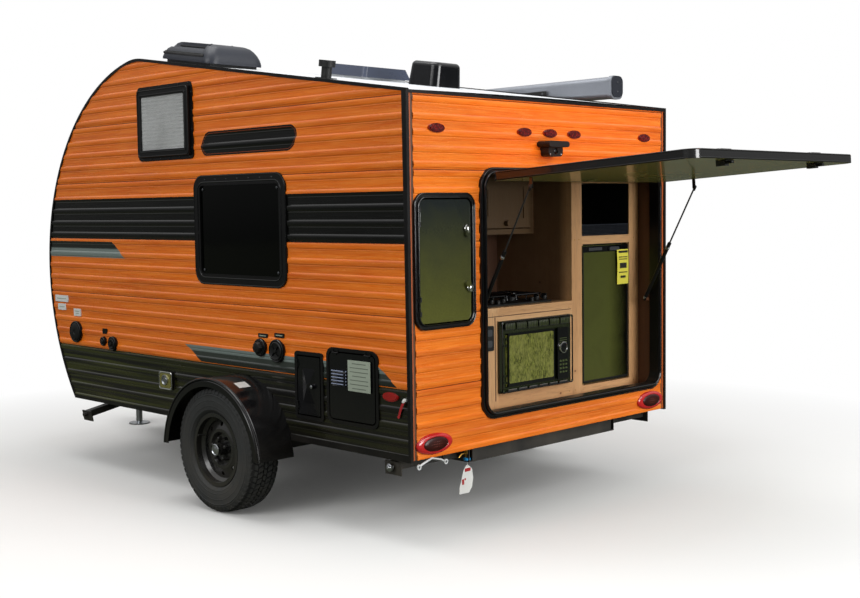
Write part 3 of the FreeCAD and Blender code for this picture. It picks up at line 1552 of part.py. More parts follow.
def make_fridge_door():
    """Fridge door with a long grip along its top edge, turning on two pivot pins."""
    gap = fridge_side_gap
    x0 = post_right + gap
    x1 = column_right - gap
    z0 = up(sill_height) + gap
    z1 = up(fridge_top) - gap
    front = face_y + fridge_front_set
    leaf = block(x0, x1, front, front + fridge_door_thick, z0, z1)
    grip = block(x0 + gap * 3, x1 - gap, front - overrun, front + fridge_door_thick / 2,
                 z1 - fridge_handle_height, z1 - fridge_handle_height / 3)
    pivot = fridge_pivot()
    hole = cylinder(fridge_pivot_radius + running_gap, z1 - z0 + 2 * overrun,
                    V(pivot.x, pivot.y, z0 - overrun), AXIS_Z)
    core = block(x0, x1, front, front + fridge_door_thick, z0 + fridge_pivot_depth + overrun / 4,
                 z1 - fridge_pivot_depth - overrun / 4)
    return join([leaf.cut(hole), core]).cut(grip)


# Roof fittings
def on_roof(shape, x, y):
    """Put a piece that was modelled on a level plane onto the sloping roof."""
    shape.rotate(ORIGIN, AXIS_X, math.degrees(slope_angle))
    shape.translate(V(x, y, up(roof_height(y))) + V(0, 0, seat_gap))
    return shape


def tapered_box(length, width, height, taper, radius, z0):
    """Loft between two rounded rectangles, narrower at the top."""
    low = rounded_face(-width / 2, width / 2, -length / 2, length / 2, radius, lambda a, b: V(a, b, z0))
    high = rounded_face(-width / 2 + taper, width / 2 - taper, -length / 2 + taper, length / 2 - taper, radius,
                        lambda a, b: V(a, b, z0 + height))
    return Part.makeLoft([low.OuterWire, high.OuterWire], True)


def brow_rounded(shape, radius):
    """Round the edges that ring the top of an upright shape."""
    top = shape.BoundBox.ZMax
    ring = [edge for edge in shape.Edges if edge.BoundBox.ZMin > top - overrun / 4]
    return shape.makeFillet(radius, ring)


def make_roof_fan():
    """Roof fan: a square base and a raised rain hood, domed behind and stepped in front."""
    inset = fan_base_inset
    base = flat_plate(-fan_width / 2 + inset, fan_width / 2 - inset, -fan_length / 2 + inset, fan_length / 2 - inset,
                      inset / 2, 0, fan_base_height)
    hood = tapered_box(fan_length, fan_width, fan_hood_height, fan_hood_taper, fan_hood_round, fan_hood_lift)
    hood = brow_rounded(hood, fan_hood_brow)
    step_y = fan_length / 2 - fan_length * fan_step_share
    cut_width = fan_width * (1 - fan_step_width_share) / 2
    top = fan_hood_lift + fan_hood_height
    steps = [block(side * fan_width / 2 - cut_width, side * fan_width / 2 + cut_width, step_y, fan_length,
                   top - fan_step_height, top + overrun) for side in (-1, 1)]
    return on_roof(join([base, hood.cut(steps)]), fan_x, fan_y)


def make_roof_vent():
    """Square roof vent: the curb with its hinge lugs and pin, and the smoked lid closed over it."""
    inset = vent_curb_inset
    reach = vent_size / 2
    curb = flat_plate(-reach + inset, reach - inset, -reach + inset, reach - inset, inset, 0, vent_curb_height)
    hole = flat_plate(-reach + inset * 2, reach - inset * 2, -reach + inset * 2, reach - inset * 2, inset / 2,
                      -overrun, vent_curb_height + overrun)
    flange = flat_plate(-reach, reach, -reach, reach, inset, 0, vent_lid_sheet)
    pin_y = reach + vent_pin_out
    lug_top = vent_pin_height + vent_pin_radius * 1.3
    far = vent_lug_reach + vent_lug_gap + vent_lug_width
    foot = block(-far, far, reach - vent_lug_depth, pin_y + vent_pin_out, 0, vent_lid_sheet)
    pieces = [curb, flange, foot]
    for side in (-1, 1):
        x = side * (vent_lug_reach + vent_lug_gap + vent_lug_width / 2)
        pieces.append(block(x - vent_lug_width / 2, x + vent_lug_width / 2, pin_y - vent_pin_radius * 1.6,
                            pin_y + vent_pin_out, 0, lug_top))
    pieces.append(cylinder(vent_pin_radius, far * 2, V(-far, pin_y, vent_pin_height), AXIS_X))
    curb = join(pieces).cut(hole)
    lid = tapered_box(vent_size, vent_size, vent_lid_height, vent_lid_taper, vent_lid_taper, vent_curb_height / 2)
    sheet = vent_lid_sheet
    hollow = tapered_box(vent_size - sheet * 2, vent_size - sheet * 2, vent_lid_height - sheet, vent_lid_taper,
                         vent_lid_taper - sheet, vent_curb_height / 2 - seat_gap)
    lug = block(-vent_lug_reach, vent_lug_reach, reach - vent_pin_out, pin_y + vent_pin_out,
                vent_pin_height - vent_pin_out, vent_pin_height + vent_pin_out)
    bore = cylinder(vent_pin_radius + running_gap, vent_lug_reach * 3,
                    V(-vent_lug_reach * 1.5, pin_y, vent_pin_height), AXIS_X)
    lid = join([lid.cut(hollow), lug]).cut(bore)
    return on_roof(curb, vent_x, vent_y), on_roof(lid, vent_x, vent_y)


def make_antenna():
    """Rounded antenna housing on a low foot."""
    foot = flat_plate(-antenna_width / 2, antenna_width / 2, -antenna_length / 2, antenna_length / 2, antenna_round,
                      0, antenna_foot)
    shell = tapered_box(antenna_length, antenna_width, antenna_height - antenna_foot, antenna_taper, antenna_round,
                        antenna_foot)
    return on_roof(join([foot, brow_rounded(shell, antenna_brow)]), antenna_x, antenna_y)


def make_pipe_cap():
    """Plumbing vent with a flat cap."""
    flange = cylinder(pipe_flange_radius, pipe_flange_height, ORIGIN, AXIS_Z)
    stem = cylinder(pipe_radius, pipe_height, ORIGIN, AXIS_Z)
    cap = cylinder(pipe_cap_radius, pipe_cap_height, V(0, 0, pipe_height), AXIS_Z)
    return on_roof(join([flange, stem, cap]), pipe_x, pipe_y)


def make_awning():
    """Rolled awning in its cassette, with an end cap at each end and two wall brackets."""
    inner = half + trim_thick + seat_gap + awning_bracket_thick
    low = up(awning_low)
    face = rounded_face(inner, inner + awning_depth, low, low + awning_height, awning_round,
                        lambda a, b: V(a, awning_rear, b))
    case = face.extrude(V(0, awning_front - awning_rear, 0))
    pieces = [case]
    proud = awning_cap_proud
    for start in (awning_rear, awning_front - awning_cap_length):
        cap = rounded_face(inner, inner + awning_depth + proud, low - proud, low + awning_height + proud,
                           awning_round, lambda a, b: V(a, start, b))
        pieces.append(cap.extrude(V(0, awning_cap_length, 0)))
    outer = half + trim_thick + seat_gap
    for share in awning_bracket_shares:
        place = awning_rear + (awning_front - awning_rear) * share
        pieces.append(block(outer, inner + awning_depth / 2, place, place + awning_bracket_length,
                            low - awning_bracket_thick, low))
        pieces.append(block(outer, inner, place, place + awning_bracket_length,
                            low - awning_bracket_height / 2, low + awning_bracket_height / 2))
    return join(pieces)


# Lamps and camera
def make_tail_lamps():
    lamps = []
    for side in (-1, 1):
        base = oval_prism(V(side * tail_x, -seat_gap, up(tail_z)), tail_length, tail_height, tail_base_proud,
                          lamp_step_share)
        lens = oval_prism(V(side * tail_x, -seat_gap, up(tail_z)), tail_lens_length, tail_lens_height,
                          tail_lens_proud, lamp_step_share)
        lamps.append(join([base, lens]))
    return apart(lamps)


def make_markers():
    lamps = []
    for share in marker_shares:
        lamps.append(oval_prism(V(half * share, -seat_gap, up(marker_z)), marker_length, marker_height, marker_proud,
                                lamp_step_share))
    for side in (-1, 1):
        lamp = oval_prism(ORIGIN, marker_length, marker_height, marker_proud, lamp_step_share)
        lamp.rotate(ORIGIN, AXIS_Z, 90 * side)
        lamp.translate(V(side * (half + seat_gap), side_marker_y, up(side_marker_z)))
        lamps.append(lamp)
    return apart(lamps)


def make_camera():
    """Rear camera under a wide hood."""
    x = camera_width / 2
    z = up(camera_z)
    body = rear_plate(camera_x - x, camera_x + x, z - camera_height / 2, z + camera_height / 2, camera_round,
                      -camera_proud * camera_body_share, -seat_gap)
    hood = rear_plate(camera_x - camera_hood / 2, camera_x + camera_hood / 2,
                      z + camera_height / 2 - camera_hood_height / 2,
                      z + camera_height / 2 + camera_hood_height / 2, camera_hood_height / 2 - seat_gap,
                      -camera_proud, -seat_gap)
    return join([body, hood])


def make_side_ports():
    """Round inlets and square plates on the left wall, each a solid of its own."""
    ports = []
    face = -half - seat_gap
    rounds = (
        (shore_port_y, shore_port_z, shore_port_size),
        (water_port_y, water_port_z, water_port_size),
        (drain_port_y, drain_port_z, drain_port_size),
        (fill_port_y, fill_port_z, fill_port_size),
        (tank_port_y, tank_port_z, tank_port_size),
    )
    plates = (
        (jack_plate_y, jack_plate_z, jack_plate_across, jack_plate_tall),
        (outlet_plate_y, outlet_plate_z, outlet_plate_across, outlet_plate_tall),
    )
    for y, z, diameter in rounds:
        base = cylinder(diameter / 2, port_proud, V(face, y, up(z)), -AXIS_X)
        lid = cylinder(diameter / 2 * port_lid_share, port_proud + port_lid_rise, V(face, y, up(z)), -AXIS_X)
        ports.append(join([base, lid]))
    for y, z, across, tall in plates:
        ports.append(side_plate(y - across / 2, y + across / 2, up(z - tall / 2), up(z + tall / 2), plate_radius,
                                face - plate_proud, face))
    return apart(ports)


def make_bed():
    """Bed platform across the cabin with its front panel, and the mattress on it."""
    top = up(bed_height)
    y0 = back_y + panel_thick + seat_gap
    deck = block(partition_x + seat_gap, inside - seat_gap, y0, bed_front_y, top - bed_panel, top)
    left = block(-inside + seat_gap, partition_x + panel_thick, locker_depth_y + seat_gap, bed_front_y,
                 top - bed_panel, top)
    front = block(-inside + seat_gap, inside - seat_gap, bed_front_y - bed_panel, bed_front_y, floor_top + seat_gap,
                  top)
    platform = join([deck, left, front])
    inset = mattress_inset
    y0 = locker_depth_y + inset
    mattress = flat_plate(-inside + inset, inside - inset, y0, bed_front_y - inset, mattress_round,
                          top + seat_gap, top + mattress_thick)
    return platform, mattress


def build_nodes():
    frames, panes = make_windows()
    entry_door, entry_pane = make_entry_door()
    jack_tube, jack_leg = make_jack()
    vent_frame, vent_lid = make_roof_vent()
    bed_platform, mattress = make_bed()
    wheel_x = half + tyre_wall_gap + tyre_width / 2
    left_strut = make_strut(strut_xs[0], 1)
    right_strut = make_strut(strut_xs[1], -1)
    flaps = overhead_spans()
    nodes = {
        "floor": make_floor(),
        "left_wall": make_left_wall(),
        "right_wall": make_right_wall(),
        "rear_wall": make_rear_wall(),
        "roof_shell": make_roof_shell(),
        "edge_trim": make_edge_trim(),
        "window_frames": frames,
        "window_panes": panes,
        "side_grille": make_side_grille(),
        "fenders": make_fenders(),
        "chassis": make_chassis(),
        "axle": make_axle(),
        "coupler": make_coupler(),
        "right_tyre": make_tyre(wheel_x),
        "right_wheel": make_rim(wheel_x),
        "jack_tube": jack_tube,
        "jack_leg": jack_leg,
        "gas_cylinder": make_gas_cylinder(),
        "galley_frame": make_galley_frame(),
        "galley_door": make_galley_door(),
        "left_strut_tube": left_strut[0],
        "left_strut_rod": left_strut[1],
        "right_strut_tube": right_strut[0],
        "right_strut_rod": right_strut[1],
        "door_frames": make_door_frames(),
        "storage_door": make_storage_door(),
        "entry_door": entry_door,
        "entry_pane": entry_pane,
        "crease_hatch": make_crease_hatch(),
        "louvre_hatch": make_louvre_hatch(),
        "bulkhead": make_bulkhead(),
        "galley_cabinet": make_galley_cabinet(),
        "left_flap": make_cupboard_flap(*flaps[0]),
        "right_flap": make_cupboard_flap(*flaps[1]),
        "counter": make_counter(),
        "cooktop": make_cooktop(),
        "microwave": make_microwave(),
        "microwave_door": make_microwave_door(),
        "fridge": make_fridge(),
        "fridge_door": make_fridge_door(),
        "roof_fan": make_roof_fan(),
        "vent_frame": vent_frame,
        "vent_lid": vent_lid,
        "antenna": make_antenna(),
        "pipe_cap": make_pipe_cap(),
        "awning": make_awning(),
        "tail_lamps": make_tail_lamps(),
        "marker_lamps": make_markers(),
        "rear_camera": make_camera(),
        "side_ports": make_side_ports(),
        "bed_platform": bed_platform,
        "mattress": mattress,
    }
    nodes["left_tyre"] = nodes["right_tyre"].mirror(ORIGIN, AXIS_X)
    nodes["left_wheel"] = nodes["right_wheel"].mirror(ORIGIN, AXIS_X)
    for end, y, angle in (("rear", stab_rear_y, 0), ("front", stab_front_y, stab_front_angle)):
        nodes[end + "_left_leg"] = make_stabiliser_leg(-1, y, angle)
        nodes[end + "_right_leg"] = make_stabiliser_leg(1, y, angle)
    return nodes


def main():
    """Write one file per piece, with the origin under the middle of the whole trailer."""
    os.makedirs("parts", exist_ok=True)
    nodes = build_nodes()
    boxes = [shape.optimalBoundingBox(False) for shape in nodes.values()]
    rear = min(box.YMin for box in boxes)
    front = max(box.YMax for box in boxes)
    left = min(box.XMin for box in boxes)
    right = max(box.XMax for box in boxes)
    shift = V(-(left + right) / 2, -(rear + front) / 2, 0)
    print("shift", round(shift.x, 3), round(shift.y, 3), "nodes", len(nodes))
    for name, shape in nodes.items():
        shape.translate(shift)
        shape.exportStep(os.path.join("parts", name + ".step"))


main()
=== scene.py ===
import bpy
import bmesh
import math
from mathutils import Matrix, Vector


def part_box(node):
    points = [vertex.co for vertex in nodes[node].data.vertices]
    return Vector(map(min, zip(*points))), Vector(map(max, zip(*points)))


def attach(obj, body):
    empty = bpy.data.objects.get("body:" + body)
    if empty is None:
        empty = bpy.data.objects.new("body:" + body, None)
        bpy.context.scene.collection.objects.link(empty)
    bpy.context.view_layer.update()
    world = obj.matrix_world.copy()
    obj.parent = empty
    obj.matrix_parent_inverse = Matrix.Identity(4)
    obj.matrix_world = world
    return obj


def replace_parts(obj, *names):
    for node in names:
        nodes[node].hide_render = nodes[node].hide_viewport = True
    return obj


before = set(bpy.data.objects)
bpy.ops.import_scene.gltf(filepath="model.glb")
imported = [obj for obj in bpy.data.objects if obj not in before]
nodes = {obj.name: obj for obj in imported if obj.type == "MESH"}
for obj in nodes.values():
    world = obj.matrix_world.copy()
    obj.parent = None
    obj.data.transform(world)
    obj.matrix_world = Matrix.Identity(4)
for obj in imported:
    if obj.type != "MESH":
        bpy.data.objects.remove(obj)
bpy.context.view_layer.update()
print("frame loaded:", len(nodes), "nodes")

# Measures are in millimetres: x from the middle, y from the rear wall, h from the body's bottom edge.
rearOffset = 1563.611
bodyBase = 413.0
halfWidth = 1015.0


def mm(x, y, z):
    return Vector((x, y, z)) / 1000


def place(x, y, h):
    return mm(x, y - rearOffset, h + bodyBase)


def leftAt(y, h, out=0.0):
    return place(-halfWidth - out, y, h)


def levelAt(h):
    return place(0, 0, h).z


def alongAt(y):
    return place(0, y, 0).y


def spaced(first, last, steps):
    return [first + (last - first) * number / steps for number in range(steps + 1)]


def addObject(name, data):
    made = bpy.data.objects.new(name, data)
    bpy.context.scene.collection.objects.link(made)
    return made


def linear(red, green, blue):
    def channel(value):
        value = value / 255
        return value / 12.92 if value <= 0.04045 else ((value + 0.055) / 1.055) ** 2.4
    return (channel(red), channel(green), channel(blue), 1.0)


def shaded(tone, share):
    return tuple(channel * share for channel in linear(*tone)[:3]) + (1.0,)


# Camera
cameraView = {"spot": (-4.949, -5.6636, 1.589), "azimuth": 44.8, "pitch": -4.25, "roll": -0.76, "lens": 52.05}


def makeCamera(view):
    azimuth, pitch, roll = [math.radians(view[key]) for key in ("azimuth", "pitch", "roll")]
    ahead = Vector((math.sin(azimuth) * math.cos(pitch), math.cos(azimuth) * math.cos(pitch), math.sin(pitch)))
    right = ahead.cross(Vector((0, 0, 1))).normalized()
    above = right.cross(ahead)
    turnedRight = right * math.cos(roll) + above * math.sin(roll)
    turnedUp = above * math.cos(roll) - right * math.sin(roll)
    data = bpy.data.cameras.new("photoCamera")
    data.lens, data.sensor_width = view["lens"], 36.0
    camera = addObject("photoCamera", data)
    matrix = Matrix((turnedRight, turnedUp, -ahead)).transposed().to_4x4()
    matrix.translation = Vector(view["spot"])
    camera.matrix_world = matrix
    bpy.context.scene.camera = camera


makeCamera(cameraView)
print("camera set")


# Node trees. A colour of three numbers is read as red, green and blue from 0 to 255.
class Net:
    def __init__(self, tree):
        self.tree = tree

    def feed(self, socket, value):
        if isinstance(value, bpy.types.NodeSocket):
            self.tree.links.new(value, socket)
        elif socket.type == "RGBA" and len(value) == 3:
            socket.default_value = linear(*value)
        else:
            socket.default_value = value

    def add(self, kind, settings=None, inputs=None):
        node = self.tree.nodes.new(kind if kind.startswith("NodeGroup") else "ShaderNode" + kind)
        for name, value in (settings or {}).items():
            setattr(node, name, value)
        for name, value in (inputs or {}).items():
            self.feed(node.inputs[name], value)
        return node

    def math(self, operation, first, second=0.0, third=0.0, clamp=False):
        values = (first, second, third)
        return self.add("Math", {"operation": operation, "use_clamp": clamp}, dict(enumerate(values))).outputs[0]

    def times(self, first, second):
        return self.math("MULTIPLY", first, second)

    def vector(self, operation, first, second, output=0):
        return self.add("VectorMath", {"operation": operation}, {0: first, 1: second}).outputs[output]

    def mix(self, factor, first, second):
        return self.add("Mix", {"data_type": "RGBA"}, {0: factor, 6: first, 7: second}).outputs[2]

    def tint(self, colour, mask, share, tone):
        return self.mix(self.times(mask, share), colour, tone)

    def blend(self, factor, first, second):
        return self.add("Mix", {"data_type": "FLOAT"}, {0: factor, 2: first, 3: second}).outputs[0]

    def remap(self, value, low, high, newLow=0.0, newHigh=1.0):
        values = (value, low, high, newLow, newHigh)
        return self.add("MapRange", {"clamp": True}, dict(enumerate(values))).outputs[0]

    def within(self, value, low, high, soft=0.0006):
        above = self.remap(value, low - soft, low + soft)
        return self.times(above, self.remap(value, high - soft, high + soft, 1.0, 0.0))

    def noise(self, vector, scale, detail=2.0, roughness=0.5, distortion=0.0):
        return self.add("TexNoise", None, {"Vector": vector, "Scale": scale, "Detail": detail,
                                           "Roughness": roughness, "Distortion": distortion}).outputs[0]

    def cells(self, vector, scale):
        return self.add("TexVoronoi", {"feature": "F1"}, {"Vector": vector, "Scale": scale}).outputs["Distance"]

    def spot(self, kind="Object"):
        return self.add("TexCoord").outputs[kind]

    def axes(self, kind="Object"):
        return self.add("SeparateXYZ", None, {"Vector": self.spot(kind)}).outputs

    def group(self, tree, *values):
        node = self.add("Group", {"node_tree": tree})
        for socket, value in zip(node.inputs, values):
            self.feed(socket, value)
        return node.outputs

    def close(self, colour, rough, height, depth):
        bump = self.add("Bump", None, {"Height": height, "Distance": depth, "Strength": 1.0})
        self.feed(self.shader.inputs["Base Color"], colour)
        if rough is not None:
            self.feed(self.shader.inputs["Roughness"], rough)
        self.feed(self.shader.inputs["Normal"], bump.outputs["Normal"])


def newGroup(name, inputs, outputs):
    tree = bpy.data.node_groups.new(name, "ShaderNodeTree")
    for label, default in inputs.items():
        kind = "NodeSocketVector" if isinstance(default, tuple) else "NodeSocketFloat"
        tree.interface.new_socket(label, in_out="INPUT", socket_type=kind).default_value = default
    for label in outputs:
        tree.interface.new_socket(label, in_out="OUTPUT", socket_type="NodeSocketFloat")
    net = Net(tree)
    return net, net.add("NodeGroupInput").outputs, net.add("NodeGroupOutput").inputs


# Streaks stretched along one direction, for wood and printed wood grain
def makeStreakGroup():
    net, given, result = newGroup("streaks", {"Stretch": (1.0, 1.0, 1.0), "Broad Scale": 6.0, "Fine Scale": 60.0},
                                  ("Broad", "Fine", "Lines"))
    spot = net.vector("MULTIPLY", net.spot(), given["Stretch"])
    lineScale = net.times(given["Fine Scale"], 2.7)
    for label, texture, low, high in (("Broad", (given["Broad Scale"], 3.0, 0.55, 0.15), 0.32, 0.68),
                                      ("Fine", (given["Fine Scale"], 4.0, 0.6), 0.3, 0.7),
                                      ("Lines", (lineScale, 2.0, 0.5), 0.56, 0.64)):
        net.feed(result[label], net.remap(net.noise(spot, *texture), low, high))
    return net.tree


# Dust and fine unevenness, which drive colour, roughness and bump of every finish
def makeWearGroup():
    net, given, result = newGroup("wear", {"Patch Scale": 5.0, "Grain Scale": 300.0}, ("Patches", "Grain", "Low Dust"))
    patches = net.noise(net.spot(), given["Patch Scale"], 5.0, 0.6)
    net.feed(result["Patches"], net.remap(patches, 0.35, 0.7))
    net.feed(result["Grain"], net.noise(net.spot(), given["Grain Scale"], 3.0, 0.5))
    low = net.remap(net.axes()["Z"], 0.05, 0.75, 1.0, 0.0)
    net.feed(result["Low Dust"], net.times(low, net.remap(patches, 0.3, 0.75)))
    return net.tree


# Knots of pine: dark cores with a paler ring, thinly spread
def makeKnotGroup():
    net, given, result = newGroup("knots", {"Stretch": (1.0, 1.0, 1.0), "Scale": 7.0, "Size": 0.05}, ("Core", "Ring"))
    away, size = net.cells(net.vector("MULTIPLY", net.spot(), given["Stretch"]), given["Scale"]), given["Size"]
    net.feed(result["Core"], net.remap(away, size, net.times(size, 0.5)))
    net.feed(result["Ring"], net.remap(away, net.times(size, 3.2), size))
    return net.tree


# A band between two heights whose ends may slant
def makeBandGroup():
    net, given, result = newGroup("band", {"Low": 0.0, "High": 1.0, "Rear At Low": -10.0, "Rear At High": -10.0,
                                           "Front At Low": 10.0, "Front At High": 10.0}, ("Mask", "Rise"))
    axes = net.axes()
    rise = net.remap(axes["Z"], given["Low"], given["High"])
    inside = net.times(net.math("GREATER_THAN", axes["Z"], given["Low"]), net.math("LESS_THAN", axes["Z"], given["High"]))
    for edge, test in (("Rear", "GREATER_THAN"), ("Front", "LESS_THAN")):
        atLow = given[edge + " At Low"]
        limit = net.math("MULTIPLY_ADD", rise, net.math("SUBTRACT", given[edge + " At High"], atLow), atLow)
        inside = net.times(inside, net.math(test, axes["Y"], limit))
    net.feed(result["Mask"], inside)
    net.feed(result["Rise"], rise)
    return net.tree


streakGroup, wearGroup, knotGroup, bandGroup = makeStreakGroup(), makeWearGroup(), makeKnotGroup(), makeBandGroup()
# Kept apart from bpy.data.materials, where a slot of the frame can have the same name
materials = {}


def newMaterial(name, roughness=0.5, coat=0.0, coatRoughness=0.1, specular=0.5, metallic=0.0, transmission=0.0):
    material = materials[name] = bpy.data.materials.new(name)
    material.use_nodes = True
    net = Net(material.node_tree)
    net.shader = material.node_tree.nodes["Principled BSDF"]
    for socket, value in (("Roughness", roughness), ("Metallic", metallic), ("Coat Weight", coat),
                          ("Coat Roughness", coatRoughness), ("Transmission Weight", transmission),
                          ("Specular IOR Level", specular)):
        net.shader.inputs[socket].default_value = value
    return net


# A finish with dust, patches and fine grain over one colour
def finish(name, tone, roughness, metallic=0.0, coat=0.0, grain=300.0, depth=0.0001, patch=4.0, shade=0.82,
           spread=0.1, dust=0.12, specular=0.5):
    net = newMaterial(name, roughness, coat, specular=specular, metallic=metallic)
    wear = net.group(wearGroup, patch, grain)
    toned = net.mix(wear["Patches"], tone, shaded(tone, shade))
    rough = net.math("MULTIPLY_ADD", wear["Patches"], spread, max(roughness - spread / 2, 0.02), clamp=True)
    rough = net.math("MULTIPLY_ADD", wear["Grain"], spread / 2, rough, clamp=True)
    net.close(net.tint(toned, wear["Low Dust"], dust, (150, 138, 118)), rough, wear["Grain"], depth)


# Printed orange wood grain of the ribbed siding, with bands, decals and a plain pad on the sides; the olive on the
# black skirt is a painted reflection of grass
sidingPaint = {
    "base": (238, 116, 18), "dark": (200, 84, 8), "pale": (246, 152, 62), "seam": (84, 28, 10), "olive": (50, 54, 16),
    "black": (5, 6, 5), "decal": (116, 128, 124), "decalMid": (50, 56, 52), "decalDark": (30, 35, 31),
    "dust": (150, 130, 100), "roughness": 0.24, "seams": (328, 668, 1008, 1348, 1688), "skirtHigh": 332,
    "bands": ((1007, 1249), (-20, 332)), "lowDecal": (336, 424, 82, 206, 1665, 1818),
    "highDecal": (891, 989, 2436, 2574, 4000, 4000),
    "pad": {"y": 1200, "h": 1531, "reach": 345, "radius": 65, "lean": 0.28, "line": (150, 66, 24)}}


def addPad(net, axes, colour, paint):
    pad = paint["pad"]
    rise = net.math("SUBTRACT", axes["Z"], levelAt(pad["h"]))
    lean = net.math("MULTIPLY_ADD", rise, pad["lean"], net.math("SUBTRACT", axes["Y"], alongAt(pad["y"])))
    beyond = net.math("MAXIMUM", net.math("SUBTRACT", net.math("ABSOLUTE", lean), pad["reach"] / 1000), 0.0)
    away = net.math("SQRT", net.math("ADD", net.times(beyond, beyond), net.times(rise, rise)))
    leftSide = net.math("LESS_THAN", axes["X"], 0.0)
    for inset, tone in ((0, paint["black"]), (9, pad["line"]), (11, paint["black"])):
        inside = net.math("LESS_THAN", away, (pad["radius"] - inset) / 1000)
        colour = net.mix(net.times(inside, leftSide), colour, tone)
    return colour


def addBands(net, height, colour, paint):
    for start, end in paint["bands"]:
        colour = net.mix(net.within(height, levelAt(start), levelAt(end)), colour, paint["black"])
    return colour


def makeSidingMaterial(name, paint, banded):
    net = newMaterial(name, paint["roughness"], 0.3, 0.05, 0.36)
    streaks = net.group(streakGroup, (0.35, 0.35, 9.0), 2.6, 13.0)
    wear = net.group(wearGroup, 2.2, 700.0)
    axes = net.axes()
    colour = net.mix(streaks["Broad"], paint["dark"], paint["base"])
    colour = net.tint(colour, streaks["Fine"], 0.45, paint["pale"])
    colour = net.tint(colour, streaks["Lines"], 0.22, paint["dark"])
    for seam in paint["seams"]:
        colour = net.tint(colour, net.within(axes["Z"], levelAt(seam - 3.2), levelAt(seam + 1.4)), 0.85, paint["seam"])
    if banded:
        colour = addPad(net, axes, colour, paint)
        for key, tone, steps in (("lowDecal", "decalDark", ((0.24, 0.32, "decalMid"), (0.62, 0.68, "decal"))),
                                 ("highDecal", "decal", ((0.52, 0.6, "decalDark"),))):
            low, high, *ends = paint[key]
            band = net.group(bandGroup, levelAt(low), levelAt(high), *[alongAt(end) for end in ends])
            tone = paint[tone]
            for start, end, after in steps:
                tone = net.mix(net.remap(band["Rise"], start, end), tone, paint[after])
            colour = net.mix(band["Mask"], colour, tone)
        colour = addBands(net, axes["Z"], colour, paint)
        # Painted reflection: olive of grass on the black skirt, stronger towards the front and broken into glints
        foot = net.math("LESS_THAN", axes["Z"], levelAt(paint["skirtHigh"]))
        forward = net.remap(axes["Y"], alongAt(1100), alongAt(2600), 0.25, 1.0)
        paintedGlints = net.remap(net.noise(net.vector("MULTIPLY", net.spot(), (1.0, 0.5, 40.0)), 1.6, 2.0), 0.42, 0.58)
        colour = net.tint(colour, net.times(foot, forward), paintedGlints, paint["olive"])
    colour = net.tint(colour, wear["Low Dust"], 0.1, paint["dust"])
    rough = net.math("MULTIPLY_ADD", wear["Patches"], 0.1, paint["roughness"] - 0.06)
    net.close(colour, net.math("MULTIPLY_ADD", streaks["Fine"], 0.06, rough), streaks["Fine"], 0.00018)


# Pine: grain runs up the posts and along the rails; painted shade darkens it deeper in and on the overhead cupboard
pineLook = {"base": (214, 170, 122), "dark": (172, 122, 76), "knot": (84, 48, 24), "roughness": 0.46, "deepShade": 0.72,
            "cupboard": (0.36, 1.413)}
brownPineLook = {"base": (84, 50, 24), "dark": (56, 30, 12), "knot": (30, 15, 6), "roughness": 0.55}


def makePine(name, look, upright, posts=()):
    net = newMaterial(name, look["roughness"], 0.15, 0.25)
    tall = ((1.0, 1.0, 0.06), 9.0, 75.0)
    grains = net.group(streakGroup, *(tall if upright else ((0.06, 1.0, 1.0), 9.0, 75.0)))
    knots = net.group(knotGroup, (1.0, 1.0, 0.6) if upright else (0.6, 1.0, 1.0), 6.5, 0.042)
    axes, (broad, fine, lines) = net.axes(), [grains[label] for label in ("Broad", "Fine", "Lines")]
    if posts:
        other, mask = net.group(streakGroup, *tall), 0.0
        for start, end in posts:
            mask = net.math("MAXIMUM", mask, net.within(axes["X"], start / 1000, end / 1000))
        broad, fine, lines = [net.blend(mask, grains[label], other[label]) for label in ("Broad", "Fine", "Lines")]
    colour = look["base"]
    for amount, share, tone in ((broad, 0.6, "dark"), (fine, 0.35, "dark"), (lines, 0.25, "knot"),
                                (knots["Ring"], 0.35, "dark"), (knots["Core"], 1.0, "knot")):
        colour = net.tint(colour, amount, share, look[tone])
    deep = net.remap(axes["Y"], alongAt(180), alongAt(240), 0.0, look.get("deepShade", 0.0))
    colour = net.mix(deep, colour, (44, 22, 10))
    # Painted shade: the overhead cupboard, left of the given X and above the given height, turns olive-brown
    if look.get("cupboard"):
        across, low = look["cupboard"]
        high = net.times(net.math("LESS_THAN", axes["X"], across), net.math("GREATER_THAN", axes["Z"], low))
        colour = net.tint(colour, high, 0.62, (58, 42, 10))
    rough = net.math("MULTIPLY_ADD", fine, 0.14, look["roughness"] - 0.06)
    net.close(colour, rough, net.math("ADD", fine, lines), 0.0002)


# Marker lenses: small facets, and a darker face where the lens stands out
lensLook = {"rim": (164, 20, 20), "lens": (124, 20, 18), "proud": 9.0}


def makeMarkerLens(name, look):
    net = newMaterial(name, 0.16, 0.6, 0.05, transmission=0.15)
    cells = net.cells(net.spot(), 95.0)
    inner = net.math("LESS_THAN", net.axes()["Y"], alongAt(-look["proud"]))
    facets = net.mix(net.remap(cells, 0.2, 0.6), look["lens"], shaded(look["lens"], 0.35))
    wear = net.group(wearGroup, 20.0, 400.0)
    rim = net.mix(wear["Patches"], look["rim"], shaded(look["rim"], 0.85))
    rough = net.math("MULTIPLY_ADD", wear["Grain"], 0.08, 0.1)
    net.close(net.mix(inner, rim, facets), rough, net.times(cells, inner), 0.0012)


# Tyre rubber with rings on its side wall, dust in its tread and painted shade in the grooves of its tread
rubberLook = {"hubY": 1276, "radius": 0.3315, "treadGrooveShade": (0.3215, 0.3272),
              "rings": ((0.214, 0.003), (0.232, 0.0016), (0.262, 0.0022), (0.289, 0.0016), (0.3, 0.0016))}


